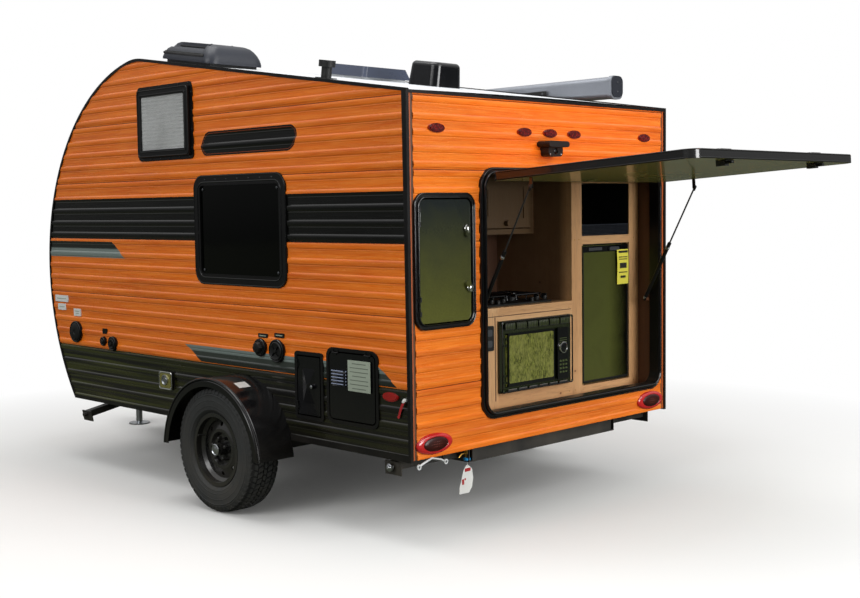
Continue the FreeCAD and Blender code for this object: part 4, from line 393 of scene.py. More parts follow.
def makeRubber(name, look):
    net = newMaterial(name, 0.78)
    hub = net.vector("SUBTRACT", net.spot(), (0.0, alongAt(look["hubY"]), look["radius"]))
    reach = net.vector("LENGTH", net.vector("MULTIPLY", hub, (0.0, 1.0, 1.0)), (0.0, 0.0, 0.0), "Value")
    rings = 0.0
    for centre, width in look["rings"]:
        rings = net.math("ADD", rings, net.within(reach, centre - width, centre + width, 0.0008))
    wear = net.group(wearGroup, 9.0, 500.0)
    colour = net.mix(wear["Patches"], (40, 42, 43), (27, 29, 30))
    colour = net.tint(colour, wear["Low Dust"], 0.26, (116, 110, 98))
    # Painted shade: a near-black ring at the depth of the tread grooves
    colour = net.tint(colour, net.within(reach, *look["treadGrooveShade"], 0.0008), 0.85, (7, 7, 7))
    height = net.math("MULTIPLY_ADD", rings, 1.0, net.times(wear["Grain"], 0.15))
    net.close(colour, net.math("MULTIPLY_ADD", wear["Patches"], 0.16, 0.66), height, 0.0016)


# The lifting door: glossy skin inside in a pale olive that paints the reflection of grass and the light bounced onto
# the underside, black edge
def makeDoorMaterial(name):
    net = newMaterial(name, 0.22, 0.5, 0.06)
    wear = net.group(wearGroup, 1.6, 220.0)
    # Painted reflection and light: the pale olive of the down-facing skin
    inner = net.mix(wear["Patches"], (214, 210, 128), (190, 188, 108))
    edge = net.mix(wear["Patches"], (20, 20, 20), (12, 12, 12))
    colour = net.mix(net.math("LESS_THAN", net.axes("Normal")["Z"], -0.9), edge, inner)
    net.close(colour, net.math("MULTIPLY_ADD", wear["Patches"], 0.1, 0.2), wear["Grain"], 0.00012)


# A wall whose inner face is panelled
wallLook = {"outer": (170, 80, 28), "inner": (92, 54, 26), "limit": 0.99}


def makeWallMaterial(name, look):
    net = newMaterial(name, 0.5, 0.1)
    grains = net.group(streakGroup, (1.0, 1.0, 0.06), 9.0, 60.0)
    knots = net.group(knotGroup, (1.0, 1.0, 0.6), 6.0, 0.045)
    wood = net.tint(look["inner"], grains["Broad"], 0.6, shaded(look["inner"], 0.5))
    wood = net.mix(knots["Core"], wood, (60, 32, 16))
    inward = net.math("LESS_THAN", net.math("ABSOLUTE", net.axes()["X"]), look["limit"])
    net.close(net.mix(inward, look["outer"], wood), None, grains["Fine"], 0.0002)


# One sheet wraps the roof and the nose: white on top, orange with pressed ribs below, black at the foot
def makeShellMaterial(name, paint):
    net = newMaterial(name, 0.4, 0.2, 0.15)
    axes = net.axes()
    streaks = net.group(streakGroup, (0.35, 3.0, 9.0), 2.6, 13.0)
    nose = net.math("GREATER_THAN", axes["Y"], alongAt(2560))
    orange = net.mix(streaks["Broad"], paint["dark"], paint["base"])
    orange = addBands(net, axes["Z"], net.tint(orange, streaks["Fine"], 0.4, paint["pale"]), paint)
    wear = net.group(wearGroup, 2.0, 160.0)
    white = net.mix(wear["Patches"], (228, 231, 234), (206, 210, 214))
    phase = net.times(net.math("SUBTRACT", axes["Z"], levelAt(328)), 2 * math.pi * 4 / 0.340)
    ribs = net.times(net.math("SINE", phase), nose)
    rough = net.math("MULTIPLY_ADD", wear["Patches"], 0.12, 0.34)
    net.close(net.mix(nose, white, orange), rough, net.math("ADD", ribs, wear["Grain"]), 0.002)


# Woven cloth of the mattress cover
def makeCloth(name):
    net = newMaterial(name, 0.88)
    net.shader.inputs["Sheen Weight"].default_value = 0.25
    axes = net.axes()
    weave = net.times(*[net.math("SINE", net.times(axes[axis], 2600.0)) for axis in ("X", "Y")])
    wear = net.group(wearGroup, 6.0, 260.0)
    colour = net.mix(wear["Patches"], (186, 180, 168), (166, 160, 150))
    colour = net.mix(net.remap(weave, 0.2, 1.0, 0.0, 0.25), colour, (120, 116, 108))
    net.close(colour, None, net.math("ADD", weave, wear["Grain"]), 0.0004)


# Dark gloss skins with a painted olive reflection of grass that fades across the panel into a darker painted reflection
def makeReflectionSkin(name, axis, start, end, first, last, pebble, coat=0.5, specular=0.4):
    net = newMaterial(name, 0.16, coat, 0.05, specular)
    cloud, pebbles = net.noise(net.spot(), 5.0, 3.0, 0.6, 0.5), net.noise(net.spot(), pebble, 3.0, 0.6)
    # Painted reflection: the olive fading to the dark tone across the panel
    fade = net.math("SUBTRACT", net.remap(net.axes()[axis], start, end), 0.25)
    colour = net.mix(net.math("MULTIPLY_ADD", cloud, 0.5, fade, clamp=True), first, last)
    colour = net.mix(net.remap(pebbles, 0.3, 0.7, 0.0, 0.16), colour, (16, 18, 12))
    net.close(colour, net.math("MULTIPLY_ADD", cloud, 0.1, 0.12), pebbles, 0.0006)


# Mirror-like glass of the microwave door, with a mottled olive cast that is a painted reflection of grass
def makeReflectionGlass(name):
    net = newMaterial(name, 0.1, 0.6, 0.05)
    fine = net.noise(net.vector("MULTIPLY", net.spot(), (1.0, 1.0, 0.35)), 130.0, 4.0, 0.7, 0.6)
    broad = net.noise(net.spot(), 16.0, 3.0, 0.6, 0.4)
    # Painted reflection: mottled olive of grass in the glass
    colour = net.mix(net.remap(fine, 0.36, 0.64), (30, 36, 8), (128, 132, 58))
    colour = net.mix(net.remap(broad, 0.42, 0.66, 0.0, 0.55), colour, (138, 138, 74))
    net.close(colour, net.remap(broad, 0.3, 0.7, 0.08, 0.16), broad, 0.0002)


# Plain finishes: tone, roughness and what differs from the usual
plainFinishes = {
    "blackTrim": ((9, 9, 10), 0.34, dict(grain=240, dust=0.08, specular=0.35)),
    "blackGloss": ((8, 9, 12), 0.18, dict(coat=0.2, grain=120, depth=0.00005, dust=0.05, specular=0.36)),
    "blackPlastic": ((12, 13, 13), 0.46, dict(grain=520, depth=0.00025, dust=0.06, specular=0.35)),
    "darkGlass": ((2, 3, 2), 0.06, dict(grain=40, depth=0.00002, spread=0.03, dust=0.0, specular=0.25)),
    "roofWhite": ((226, 229, 232), 0.55, dict(grain=160, patch=2.0, shade=0.9, dust=0.0)),
    "frameSteel": ((22, 22, 23), 0.5, dict(grain=380, depth=0.0003, dust=0.3)),
    "wheelSteel": ((18, 20, 22), 0.26, dict(coat=0.4, grain=260)),
    "brightSteel": ((196, 199, 203), 0.24, dict(metallic=1.0, grain=420, dust=0.0)),
    "darkSteel": ((84, 84, 86), 0.28, dict(metallic=0.9, dust=0.0)),
    "chrome": ((215, 216, 212), 0.12, dict(metallic=1.0, grain=200, depth=0.00004, spread=0.05, dust=0.0)),
    "brass": ((176, 134, 62), 0.3, dict(metallic=1.0, dust=0.0)),
    "paleBrass": ((172, 166, 96), 0.22, dict(metallic=0.7, dust=0.0)),
    "awningMetal": ((150, 154, 162), 0.34, dict(metallic=0.55, grain=260, patch=3.0, dust=0.0)),
    "slatePlastic": ((30, 34, 44), 0.42, dict(grain=420, depth=0.0002, dust=0.0)),
    "smokeLid": ((44, 54, 76), 0.26, dict(coat=0.3, grain=200, dust=0.0)),
    "whitePlastic": ((226, 226, 222), 0.4, dict(grain=400, dust=0.05)),
    "palePaper": ((214, 216, 214), 0.6, dict(grain=500, shade=0.9, dust=0.0)),
    "greyPaper": ((158, 168, 152), 0.5, dict(grain=500, shade=0.86, dust=0.0)),
    "yellowPaper": ((222, 212, 74), 0.55, dict(grain=500, shade=0.92, dust=0.0)),
    "inkBlack": ((30, 30, 26), 0.5, dict(grain=500, dust=0.0)),
    "inkGrey": ((96, 104, 94), 0.6, dict(grain=400, dust=0.0)),
    "redCloth": ((168, 26, 30), 0.75, dict(grain=900, dust=0.0)),
    "blueRubber": ((38, 150, 214), 0.4, dict(dust=0.0)),
    "floorBoard": ((118, 104, 88), 0.6, dict(grain=200, patch=5.0, dust=0.0)),
    "enamelWhite": ((224, 224, 220), 0.24, dict(coat=0.5, grain=160, dust=0.06)),
    "louvreHighlightSilver": ((150, 160, 186), 0.3, dict(metallic=0.4, grain=400, dust=0.0)),
    "meshSilver": ((206, 208, 208), 0.5, dict(metallic=0.1, grain=500, patch=6.0, shade=0.78, dust=0.0)),
    "darkMesh": ((24, 29, 40), 0.5, dict(grain=700, dust=0.0)),
    "greyPaint": ((74, 76, 80), 0.4, dict(metallic=0.4, grain=420, dust=0.0)),
    "ovenTrim": ((34, 40, 20), 0.24, dict(coat=0.3, dust=0.0, specular=0.4)),
    "oliveMetal": ((66, 76, 40), 0.3, dict(coat=0.3, dust=0.0)),
    "tailRim": ((190, 26, 30), 0.16, dict(coat=0.6, grain=220, dust=0.06)),
    "tailLens": ((50, 9, 5), 0.3, dict(coat=0.08, grain=160, dust=0.03, specular=0.3)),
    "tailDot": ((112, 38, 24), 0.3, dict(coat=0.2, grain=160, dust=0.05))}
for name, (tone, roughness, others) in plainFinishes.items():
    finish(name, tone, roughness, **others)
makeSidingMaterial("sidingSides", sidingPaint, True)
makeSidingMaterial("sidingRear", sidingPaint, False)
makeShellMaterial("shellSkin", sidingPaint)
makePine("pine", pineLook, False, ((-530, -236), (366, 454), (888, 980)))
makePine("pineUpright", pineLook, True)
makePine("brownPine", brownPineLook, True)
makeReflectionSkin("grassReflectionGloss", "Z", levelAt(660), levelAt(1200), (86, 88, 38), (26, 32, 32), 130.0)
makeReflectionSkin("fridgeSkin", "X", 0.70, 0.86, (74, 78, 36), (6, 7, 5), 220.0, 0.1, 0.25)
makeMarkerLens("markerRed", lensLook)
makeRubber("tyreRubber", rubberLook)
makeDoorMaterial("liftDoorSkins")
makeWallMaterial("sideWalls", wallLook)
makeCloth("mattressCloth")
makeReflectionGlass("grassReflectionGlass")
print("materials made:", len(bpy.data.materials))

dressing = {
    "sideWalls": "left_wall right_wall", "sidingRear": "rear_wall", "shellSkin": "roof_shell", "floorBoard": "floor",
    "blackTrim": "edge_trim window_frames side_grille galley_frame door_frames side_ports axle coupler jack_tube "
                 "left_strut_tube right_strut_tube",
    "darkSteel": "left_strut_rod right_strut_rod", "roofWhite": "vent_frame", "darkGlass": "window_panes entry_pane",
    "blackGloss": "fenders antenna louvre_hatch crease_hatch", "tyreRubber": "left_tyre right_tyre",
    "frameSteel": "chassis rear_left_leg rear_right_leg front_left_leg front_right_leg",
    "wheelSteel": "left_wheel right_wheel", "brightSteel": "jack_leg", "enamelWhite": "gas_cylinder",
    "liftDoorSkins": "galley_door", "grassReflectionGloss": "storage_door", "fridgeSkin": "fridge_door", "ovenTrim": "microwave",
    "grassReflectionGlass": "microwave_door", "sidingSides": "entry_door", "brownPine": "bulkhead", "pine": "galley_cabinet counter",
    "pineUpright": "left_flap right_flap bed_platform", "blackPlastic": "cooktop fridge rear_camera pipe_cap",
    "slatePlastic": "roof_fan", "smokeLid": "vent_lid", "awningMetal": "awning", "tailRim": "tail_lamps",
    "markerRed": "marker_lamps", "mattressCloth": "mattress"}
for material, names in dressing.items():
    for name in names.split():
        node = nodes[name]
        if not node.material_slots:
            node.data.materials.append(materials[material])
        for slot in node.material_slots:
            slot.material = materials[material]
print("CAD nodes dressed")


def newPiece(name, mesh, material, body="trailer", smooth=False):
    data = bpy.data.meshes.new(name)
    mesh.to_mesh(data)
    mesh.free()
    made = addObject(name, data)
    data.materials.append(materials[material])
    if smooth:
        data.polygons.foreach_set("use_smooth", [True] * len(data.polygons))
        data.set_sharp_from_angle(angle=math.radians(32))
    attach(made, body)
    return made


def circle(centre, side, other, radius, count):
    angles = [2 * math.pi * number / count for number in range(count)]
    return [centre + (side * math.cos(angle) + other * math.sin(angle)) * (radius / 1000) for angle in angles]


def roundedRing(width, height, radius, count=6):
    points = []
    for cornerX, cornerY, start in ((1, -1, -90), (1, 1, 0), (-1, 1, 90), (-1, -1, 180)):
        for step in range(count + 1):
            angle = math.radians(start + 90 * step / count)
            points.append((cornerX * (width / 2 - radius) + radius * math.cos(angle),
                           cornerY * (height / 2 - radius) + radius * math.sin(angle)))
    return points


# Every piece collects its solids in one mesh. Points are in metres, radii, bevels and profiles in millimetres.
class Shape:
    def __init__(self):
        self.mesh = bmesh.new()

    def move(self, made, matrix):
        bmesh.ops.transform(self.mesh, matrix=matrix, verts=made)
        return made

    # Faces between rings of points, where a ring of one point makes a tip
    def skin(self, rings, around=True, joined=False, capped=True):
        rings = [[self.mesh.verts.new(point) for point in ring] for ring in rings]
        count = max(len(ring) for ring in rings)
        for first, second in zip(rings, rings[1:] + rings[:1] if joined else rings[1:]):
            for number in range(count if around else count - 1):
                after = (number + 1) % count
                corners = [ring[at % len(ring)] for ring, at in ((first, number), (first, after), (second, after),
                                                                 (second, number))]
                corners = list(dict.fromkeys(corners))
                if len(corners) > 2:
                    self.mesh.faces.new(corners)
        for ring in (rings[0], rings[-1]) if capped else ():
            if len(ring) > 2:
                self.mesh.faces.new(ring)
        return [vert for ring in rings for vert in ring]

    def box(self, low, high, bevel=0.0, turn=None):
        made = bmesh.ops.create_cube(self.mesh, size=1.0)["verts"]
        self.move(made, Matrix.Diagonal((*[abs(size) for size in high - low], 1.0)))
        if bevel:
            edges = list({e for v in made for e in v.link_edges})
            result = bmesh.ops.bevel(self.mesh, geom=edges, offset=bevel / 1000, segments=2, profile=0.5, affect="EDGES")
            made = list({v for f in result["faces"] for v in f.verts} | {v for v in made if v.is_valid})
        if turn is not None:
            self.move(made, turn)
        return self.move(made, Matrix.Translation((low + high) / 2))

    def block(self, low, high, bevel=0.0):
        return self.box(place(*low), place(*high), bevel)

    def leftBox(self, start, end, inner, outer, bevel=0.0, turn=None):
        return self.box(leftAt(*start, inner), leftAt(*end, outer), bevel, turn)

    def prism(self, ring, depth):
        depth = Vector(depth) / 1000
        self.skin([ring, [point + depth for point in ring]])

    def turned(self, start, axis, profile, count=32, capped=True):
        axis = Vector(axis).normalized()
        side = axis.orthogonal().normalized()
        other, rings = axis.cross(side), []
        for along, radius in profile:
            centre = start + axis * (along / 1000)
            rings.append(circle(centre, side, other, radius, count) if radius > 0 else [centre])
        return self.skin(rings, capped=capped)

    def leftTurned(self, y, h, profile, count=28, out=0.0):
        return self.turned(leftAt(y, h, out), (-1, 0, 0), profile, count)

    def rearTurned(self, x, h, profile, y=0.0, count=28):
        return self.turned(place(x, y, h), (0, -1, 0), profile, count)

    def leftPlate(self, y, h, across, tall, radius, out, thick):
        self.prism([leftAt(y + a, h + b, out) for a, b in roundedRing(across, tall, radius)], (-thick, 0, 0))

    def rearPlate(self, x, h, across, tall, radius, y, thick):
        self.prism([place(x + a, y, h + b) for a, b in roundedRing(across, tall, radius)], (0, -thick, 0))

    def rod(self, start, end, radius, count=12):
        length = (end - start).length * 1000
        self.turned(start, end - start, [(0, radius * 0.85), (radius * 0.15, radius), (length - radius * 0.15, radius),
                                         (length, radius * 0.85)], count)

    # A closed tube along a flat ring of points
    def loop(self, path, radius, sides=8):
        count, rings = len(path), []
        centre = sum(path, Vector()) / count
        normal = (path[0] - centre).cross(path[count // 4] - centre).normalized()
        for number, point in enumerate(path):
            ahead = (path[(number + 1) % count] - path[number - 1]).normalized()
            rings.append(circle(point, ahead.cross(normal).normalized(), normal, radius, sides))
        return self.skin(rings, joined=True, capped=False)

    # A tube along an open run of points, closed at both ends
    def tube(self, path, radius, sides=8):
        rings, side = [], None
        for number, point in enumerate(path):
            ahead = (path[min(number + 1, len(path) - 1)] - path[max(number - 1, 0)]).normalized()
            side = ahead.orthogonal().normalized() if side is None else side
            side = (side - ahead * side.dot(ahead)).normalized()
            rings.append(circle(point, side, ahead.cross(side), radius, sides))
        self.skin(rings)

    def piece(self, name, material, slot, body="trailer", smooth=True):
        bmesh.ops.recalc_face_normals(self.mesh, faces=self.mesh.faces)
        return newPiece(name, self.mesh, material, body, smooth)


# The outline of an opening, drawn inwards: on the left wall where it has a rear and a front, else at the rear
def outline(look, inset, radius, away, count=8):
    onLeft = "rear" in look
    start, end = (look["rear"], look["front"]) if onLeft else (look["left"], look["right"])
    middle, level = (start + end) / 2, (look["low"] + look["high"]) / 2
    ring = roundedRing(end - start - 2 * inset, look["high"] - look["low"] - 2 * inset, radius, count)
    if onLeft:
        return [leftAt(middle + a, level + b, away) for a, b in ring]
    return [place(middle + a, away, level + b) for a, b in ring]


def screwHead(radius, high):
    return [(0, radius), (high * 0.6, radius), (high, radius * 0.6), (high, radius * 0.25), (high * 0.5, radius * 0.2),
            (high * 0.5, 0)]


# Ribbed siding: the outer faces of the walls, cut at every rib line and pushed out to its profile
sidingForm = {"pitch": 340.0, "firstSeam": 328.0, "ribStarts": (0, 80, 154, 229, 300), "depth": 5.0, "base": 0.9,
              "ribDrops": ((0, 0.0), (5, 0.72), (10, 0.96), (17, 1.0), (24, 0.9), (29, 0.7), (34, 0.06), (38, 0.2),
                           (42, 0.0)), "seamHalf": 1.6, "seamShare": -0.12}


def ribLines(form):
    lines = []
    for panel in range(-2, 7):
        top = form["firstSeam"] + (panel + 1) * form["pitch"]
        for start in form["ribStarts"]:
            for drop, share in form["ribDrops"]:
                if 3 < start + drop < form["pitch"] - 3:
                    lines.append((top - start - drop, share))
        half = form["seamHalf"]
        lines += [(top + half, form["seamShare"]), (top - half, form["seamShare"]), (top - 2 * half, 0.3)]
    return sorted(lines)


def ribDepth(form, lines, height):
    for (first, firstShare), (second, secondShare) in zip(lines, lines[1:]):
        if first <= height <= second:
            share = firstShare + (secondShare - firstShare) * (height - first) / max(second - first, 1e-6)
            return form["base"] + form["depth"] * share
    return form["base"]


def makeSiding(name, sources, outward, body, material, form, turn=Matrix.Identity(4)):
    lines, outward, mesh, areas = ribLines(form), Vector(outward), bmesh.new(), {}
    for source in sources:
        mesh.from_mesh(nodes[source].data)
    bmesh.ops.transform(mesh, matrix=turn, verts=mesh.verts)
    mesh.normal_update()
    for face in mesh.faces:
        if face.normal.dot(outward) > 0.999:
            plane = round(face.calc_center_median().dot(outward) * 500)
            areas[plane] = areas.get(plane, 0.0) + face.calc_area()
    chosen = max(areas, key=areas.get) / 500
    drop = [face for face in mesh.faces
            if face.normal.dot(outward) < 0.999 or abs(face.calc_center_median().dot(outward) - chosen) > 0.0015]
    bmesh.ops.delete(mesh, geom=drop, context="FACES")
    bmesh.ops.remove_doubles(mesh, verts=mesh.verts, dist=0.00002)
    lowest, highest = min(v.co.z for v in mesh.verts), max(v.co.z for v in mesh.verts)
    for height, share in lines:
        cut = levelAt(height)
        if lowest < cut < highest:
            bmesh.ops.bisect_plane(mesh, geom=mesh.verts[:] + mesh.edges[:] + mesh.faces[:], dist=0.000005,
                                   plane_co=(0, 0, cut), plane_no=(0, 0, 1))
    for vert in mesh.verts:
        vert.co += outward * ribDepth(form, lines, vert.co.z * 1000 - bodyBase) / 1000
    bmesh.ops.transform(mesh, matrix=turn.inverted(), verts=mesh.verts)
    newPiece(name, mesh, material, body)


# Edge trim: the same strip with slim lips
trimLook = {"half": 1015.0, "lip": 26.0, "thick": 7.0, "sideLip": 9.0, "rearLip": 11.0}


def connectedLoops(edges):
    loops, left = [], set(edges)
    while left:
        edge = left.pop()
        group, spread = {edge}, [edge]
        while spread:
            for vert in spread.pop().verts:
                for other in vert.link_edges:
                    if other in left:
                        left.discard(other)
                        group.add(other)
                        spread.append(other)
        loops.append(group)
    return loops


def nearestOn(segments, point):
    found = []
    for first, second in segments:
        run = second - first
        share = max(0.0, min(1.0, (point - first).dot(run) / max(run.length_squared, 1e-12)))
        found.append(first + run * share)
    return min(found, key=lambda near: (point - near).length)


def makeEdgeTrim(look):
    mesh = bmesh.new()
    mesh.from_mesh(nodes["edge_trim"].data)
    mesh.transform(nodes["edge_trim"].matrix_world)
    bmesh.ops.remove_doubles(mesh, verts=mesh.verts, dist=0.00002)
    mesh.normal_update()
    side = (look["half"] + look["thick"]) / 1000
    flat = {f for f in mesh.faces if f.normal.x < -0.999 and abs(f.calc_center_median().x + side) < 0.0006}
    rim = [e for e in {e for f in flat for e in f.edges} if sum(f in flat for f in e.link_faces) == 1]

    def reach(group):
        alongs = [v.co.y for e in group for v in e.verts]
        return max(alongs) - min(alongs)

    def key(vert):
        return tuple(round(value, 4) for value in vert.co.yz)
    loops = sorted(connectedLoops(rim), key=reach)
    outer = [(e.verts[0].co.yz, e.verts[1].co.yz) for e in loops[-1]]
    inner = {key(v) for e in loops[0] for v in e.verts}
    share = (look["sideLip"] + look["thick"]) / (look["lip"] + look["thick"])
    for vert in mesh.verts:
        if key(vert) in inner and abs(vert.co.x) > (look["half"] - 2) / 1000:
            near = nearestOn(outer, vert.co.yz)
            vert.co.y, vert.co.z = near + (vert.co.yz - near) * share
    for vert in mesh.verts:
        if abs(abs(vert.co.x) - (look["half"] - look["lip"]) / 1000) < 0.0008:
            vert.co.x = math.copysign((look["half"] - look["rearLip"]) / 1000, vert.co.x)
    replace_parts(newPiece("edgeTrim", mesh, "blackTrim"), "edge_trim")


makeEdgeTrim(trimLook)

# The galley door was drawn shut and swung up about its hinge; this matrix swings it back
galleyHinge = {"y": -20.0, "h": 1337.0, "angle": 93.5}


def swingBack(hinge):
    pin = place(0, hinge["y"], hinge["h"])
    return Matrix.Translation(pin) @ Matrix.Rotation(math.radians(hinge["angle"]), 4, "X") @ Matrix.Translation(-pin)


doorShut = swingBack(galleyHinge)
doorOpen = doorShut.inverted()
makeSiding("leftSiding", ("left_wall",), (-1, 0, 0), "trailer", "sidingSides", sidingForm)
makeSiding("rightSiding", ("right_wall",), (1, 0, 0), "trailer", "sidingSides", sidingForm)
makeSiding("entrySiding", ("entry_door",), (1, 0, 0), "entry_door", "sidingSides", sidingForm)
makeSiding("rearSiding", ("rear_wall", "roof_shell"), (0, -1, 0), "trailer", "sidingRear", sidingForm)
makeSiding("liftDoorSiding", ("galley_door",), (0, -1, 0), "galley_door", "sidingRear", sidingForm, doorShut)
print("siding made")

# Windows: two beads round each pane, with a screw near every corner and a row along the top
windowLook = {"rear": 879, "front": 1689, "low": 769, "high": 1362, "beads": ((38, 54, 9.4), (5, 76, 8.0)), "bead": 3.6,
              "corner": 78, "rowInset": 110, "rowDrop": 24}


def makeWindowDetails(look):
    seals, screws = Shape(), Shape()
    rear, front, high, corner = look["rear"], look["front"], look["high"], look["corner"]
    for side in (-1, 1):
        turn = Matrix.Diagonal((-side, 1, 1, 1))
        for inset, radius, out in look["beads"]:
            seals.move(seals.loop(outline(look, inset, radius, out), look["bead"]), turn)
        for h in (look["low"] + corner, high - corner):
            for y in (rear + corner, front - corner):
                screws.move(screws.leftTurned(y, h, screwHead(7, 4), 14, 2), turn)
        for y in spaced(rear + look["rowInset"], front - look["rowInset"], 6):
            screws.move(screws.leftTurned(y, high - look["rowDrop"], screwHead(4, 2.5), 10, 10), turn)
    seals.piece("windowSeals", "blackGloss", "black_trim")
    screws.piece("windowScrews", "greyPaint", "black_trim")


makeWindowDetails(windowLook)

# Grille: woven mesh between two toothed strips, two beads and a ring of screws
grilleLook = {"rear": 1681, "front": 2238, "low": 1458, "high": 1880, "border": 60, "proud": 24, "wire": 2.2,
              "mesh": 5.0, "tooth": 9.0, "toothRoot": 8, "toothTip": 7, "screwInset": 10}


def makeGrilleDetails(look):
    cloth, teeth, screws = Shape(), Shape(), Shape()
    border, half, out, proud = look["border"], look["wire"] / 2, look["proud"] - 6, look["proud"]
    rear, front, low, high = look["rear"] + border, look["front"] - border, look["low"] + border, look["high"] - border
    for y in spaced(rear, front, int((front - rear) / look["mesh"])):
        cloth.leftBox((y - half, low), (y + half, high), out, out + 1.2)
    for h in spaced(low, high, int((high - low) / look["mesh"])):
        cloth.leftBox((rear, h - half), (front, h + half), out + 0.5, out + 1.7)
    cloth.leftBox((rear, low), (front, high), out - 3, out - 1)
    count = int((high - low) / look["tooth"])
    for edge, way in ((rear, 1), (front, -1)):
        root = edge - way * look["toothRoot"]
        ring = [(root, low)]
        for base in spaced(low, high, count)[:-1]:
            ring += [(edge, base), (edge + way * look["toothTip"], base + (high - low) / count / 2)]
        ring += [(edge, high), (root, high)]
        teeth.prism([leftAt(y, h, proud + 0.5) for y, h in ring], (-1.2, 0, 0))
    for inset, radius in ((24, 26), (border - 10, 10)):
        teeth.loop(outline(look, inset, radius, proud, 5), 3.5)
    inset = look["screwInset"]
    spots = [(y, h) for y in spaced(look["rear"] + 40, look["front"] - 40, 5)
             for h in (look["low"] + inset, look["high"] - inset)]
    spots += [(y, h) for h in spaced(look["low"] + 60, look["high"] - 60, 3)
              for y in (look["rear"] + inset, look["front"] - inset)]
    for y, h in spots:
        screws.leftTurned(y, h, screwHead(4.5, 3), 10, 8)
    cloth.piece("grilleMesh", "meshSilver", "bright_steel", smooth=False)
    teeth.piece("grilleTrim", "blackPlastic", "black_trim")
    screws.piece("grilleScrews", "blackGloss", "black_trim")


makeGrilleDetails(grilleLook)

# Round ports: centre (y, h), radius and kind of cap; then squares, blank labels and their bars
portLook = {"spots": ((3027, 418, 67, "grip"), (2699, 379, 27, "plain"), (2590, 372, 44, "cross"),
                      (1114, 454, 47, "knob"), (974, 445, 60, "cross")), "face": 17.5,
            "squares": ((2684, 441, 44, 28), (1096, 516, 78, 22), (959, 526, 78, 22)),
            "labels": ((3205, 621, 162, 42), (3205, 568, 100, 40), (3013, 541, 84, 47)),
            "bars": ((3205, 621, 120), (3205, 568, 70), (3013, 548, 56), (3013, 534, 40), (1096, 516, 54), (959, 526, 54))}


def makePortDetails(look):
    caps, rims, plates, bars = Shape(), Shape(), Shape(), Shape()
    face = look["face"]
    for y, h, radius, kind in look["spots"]:
        inner = radius - 12
        rims.leftTurned(y, h, [(0, radius), (3, radius - 2), (4, radius - 6), (2.5, radius - 9), (0.5, radius - 10)],
                        36, face)
        if kind == "grip":
            caps.leftTurned(y, h, [(0, inner), (3, inner), (6, inner - 6), (6, 16), (3, 14), (3, 0)], 36, face)
            caps.leftBox((y - 9, h - inner + 2), (y + 9, h - inner + 16), face + 3, face + 10, 2)
        elif kind == "plain":
            caps.leftTurned(y, h, [(0, inner), (6, inner - 1), (8, inner - 4), (8, 0)], 24, face)
        elif kind == "cross":
            caps.leftTurned(y, h, [(0, inner), (4, inner), (7, inner - 5), (3, inner - 14), (3, 11), (10, 9), (11, 0)],
                            32, face)
            for number in range(4):
                turn, reach = Matrix.Rotation(math.radians(45 + 90 * number), 4, "X"), inner * 0.75
                caps.leftBox((y - 3, h - reach), (y + 3, h + reach), face + 3, face + 7, 1, turn)
        else:
            caps.leftTurned(y, h, [(0, inner), (14, inner - 3), (24, inner - 8), (26, inner - 14), (26, 0)], 8, face)
            rims.leftTurned(y, h, [(3, inner + 6), (8, inner + 5), (9, inner - 2)], 28, face)
    for square in look["squares"]:
        caps.leftPlate(*square, 3, 0, 7.2)
    rims.piece("portRims", "blackGloss", "black_trim")
    caps.piece("portCaps", "blackPlastic", "black_plastic")
    for label in look["labels"]:
        plates.leftPlate(*label, 3, 0, 6.9)
    plates.piece("blankLabels", "palePaper", "white_enamel")
    for bar in look["bars"]:
        bars.leftPlate(*bar, 5, 1, 0, 7.8)
    bars.piece("labelBars", "greyPaper", "white_enamel")


makePortDetails(portLook)

# Outlet low on the left side
outletLook = {"y": 2006, "h": 200, "across": 133, "tall": 105, "face": 17.5, "screws": (54, 40)}


def makeOutlet(look):
    plate, inner, socket = Shape(), Shape(), Shape()
    y, h, across, tall, face = [look[key] for key in ("y", "h", "across", "tall", "face")]
    plate.leftPlate(y, h, across, tall, 16, face, 4)
    plate.loop([leftAt(y + a, h + b, face + 4) for a, b in roundedRing(across - 8, tall - 8, 14, 5)], 3)
    inner.leftPlate(y, h, across - 24, tall - 22, 10, face + 4, 1.5)
    socket.leftTurned(y, h + 4, [(0, 31), (7, 30), (8, 26), (3, 24), (3, 13), (9, 12), (10, 0)], 28, face + 5)
    for a in (-1, 1):
        for b in (-1, 1):
            socket.leftTurned(y + a * look["screws"][0], h + b * look["screws"][1], screwHead(5, 2.5), 12, face + 4)
    plate.piece("outletPlate", "chrome", "bright_steel")
    inner.piece("outletFace", "paleBrass", "bright_steel")
    socket.piece("outletSocket", "brightSteel", "bright_steel")


makeOutlet(outletLook)

# The two hatches: lock, blank label with its bars, louvre lips in a pale silver that paints the highlights on the black
# louvres, and the dots behind them
hatchLook = {"lock": (687, 286), "label": {"rear": 253, "front": 415, "low": 294, "high": 444},
             "louvres": {"rear": 440, "front": 535, "low": 312, "high": 392}, "face": 17.0}


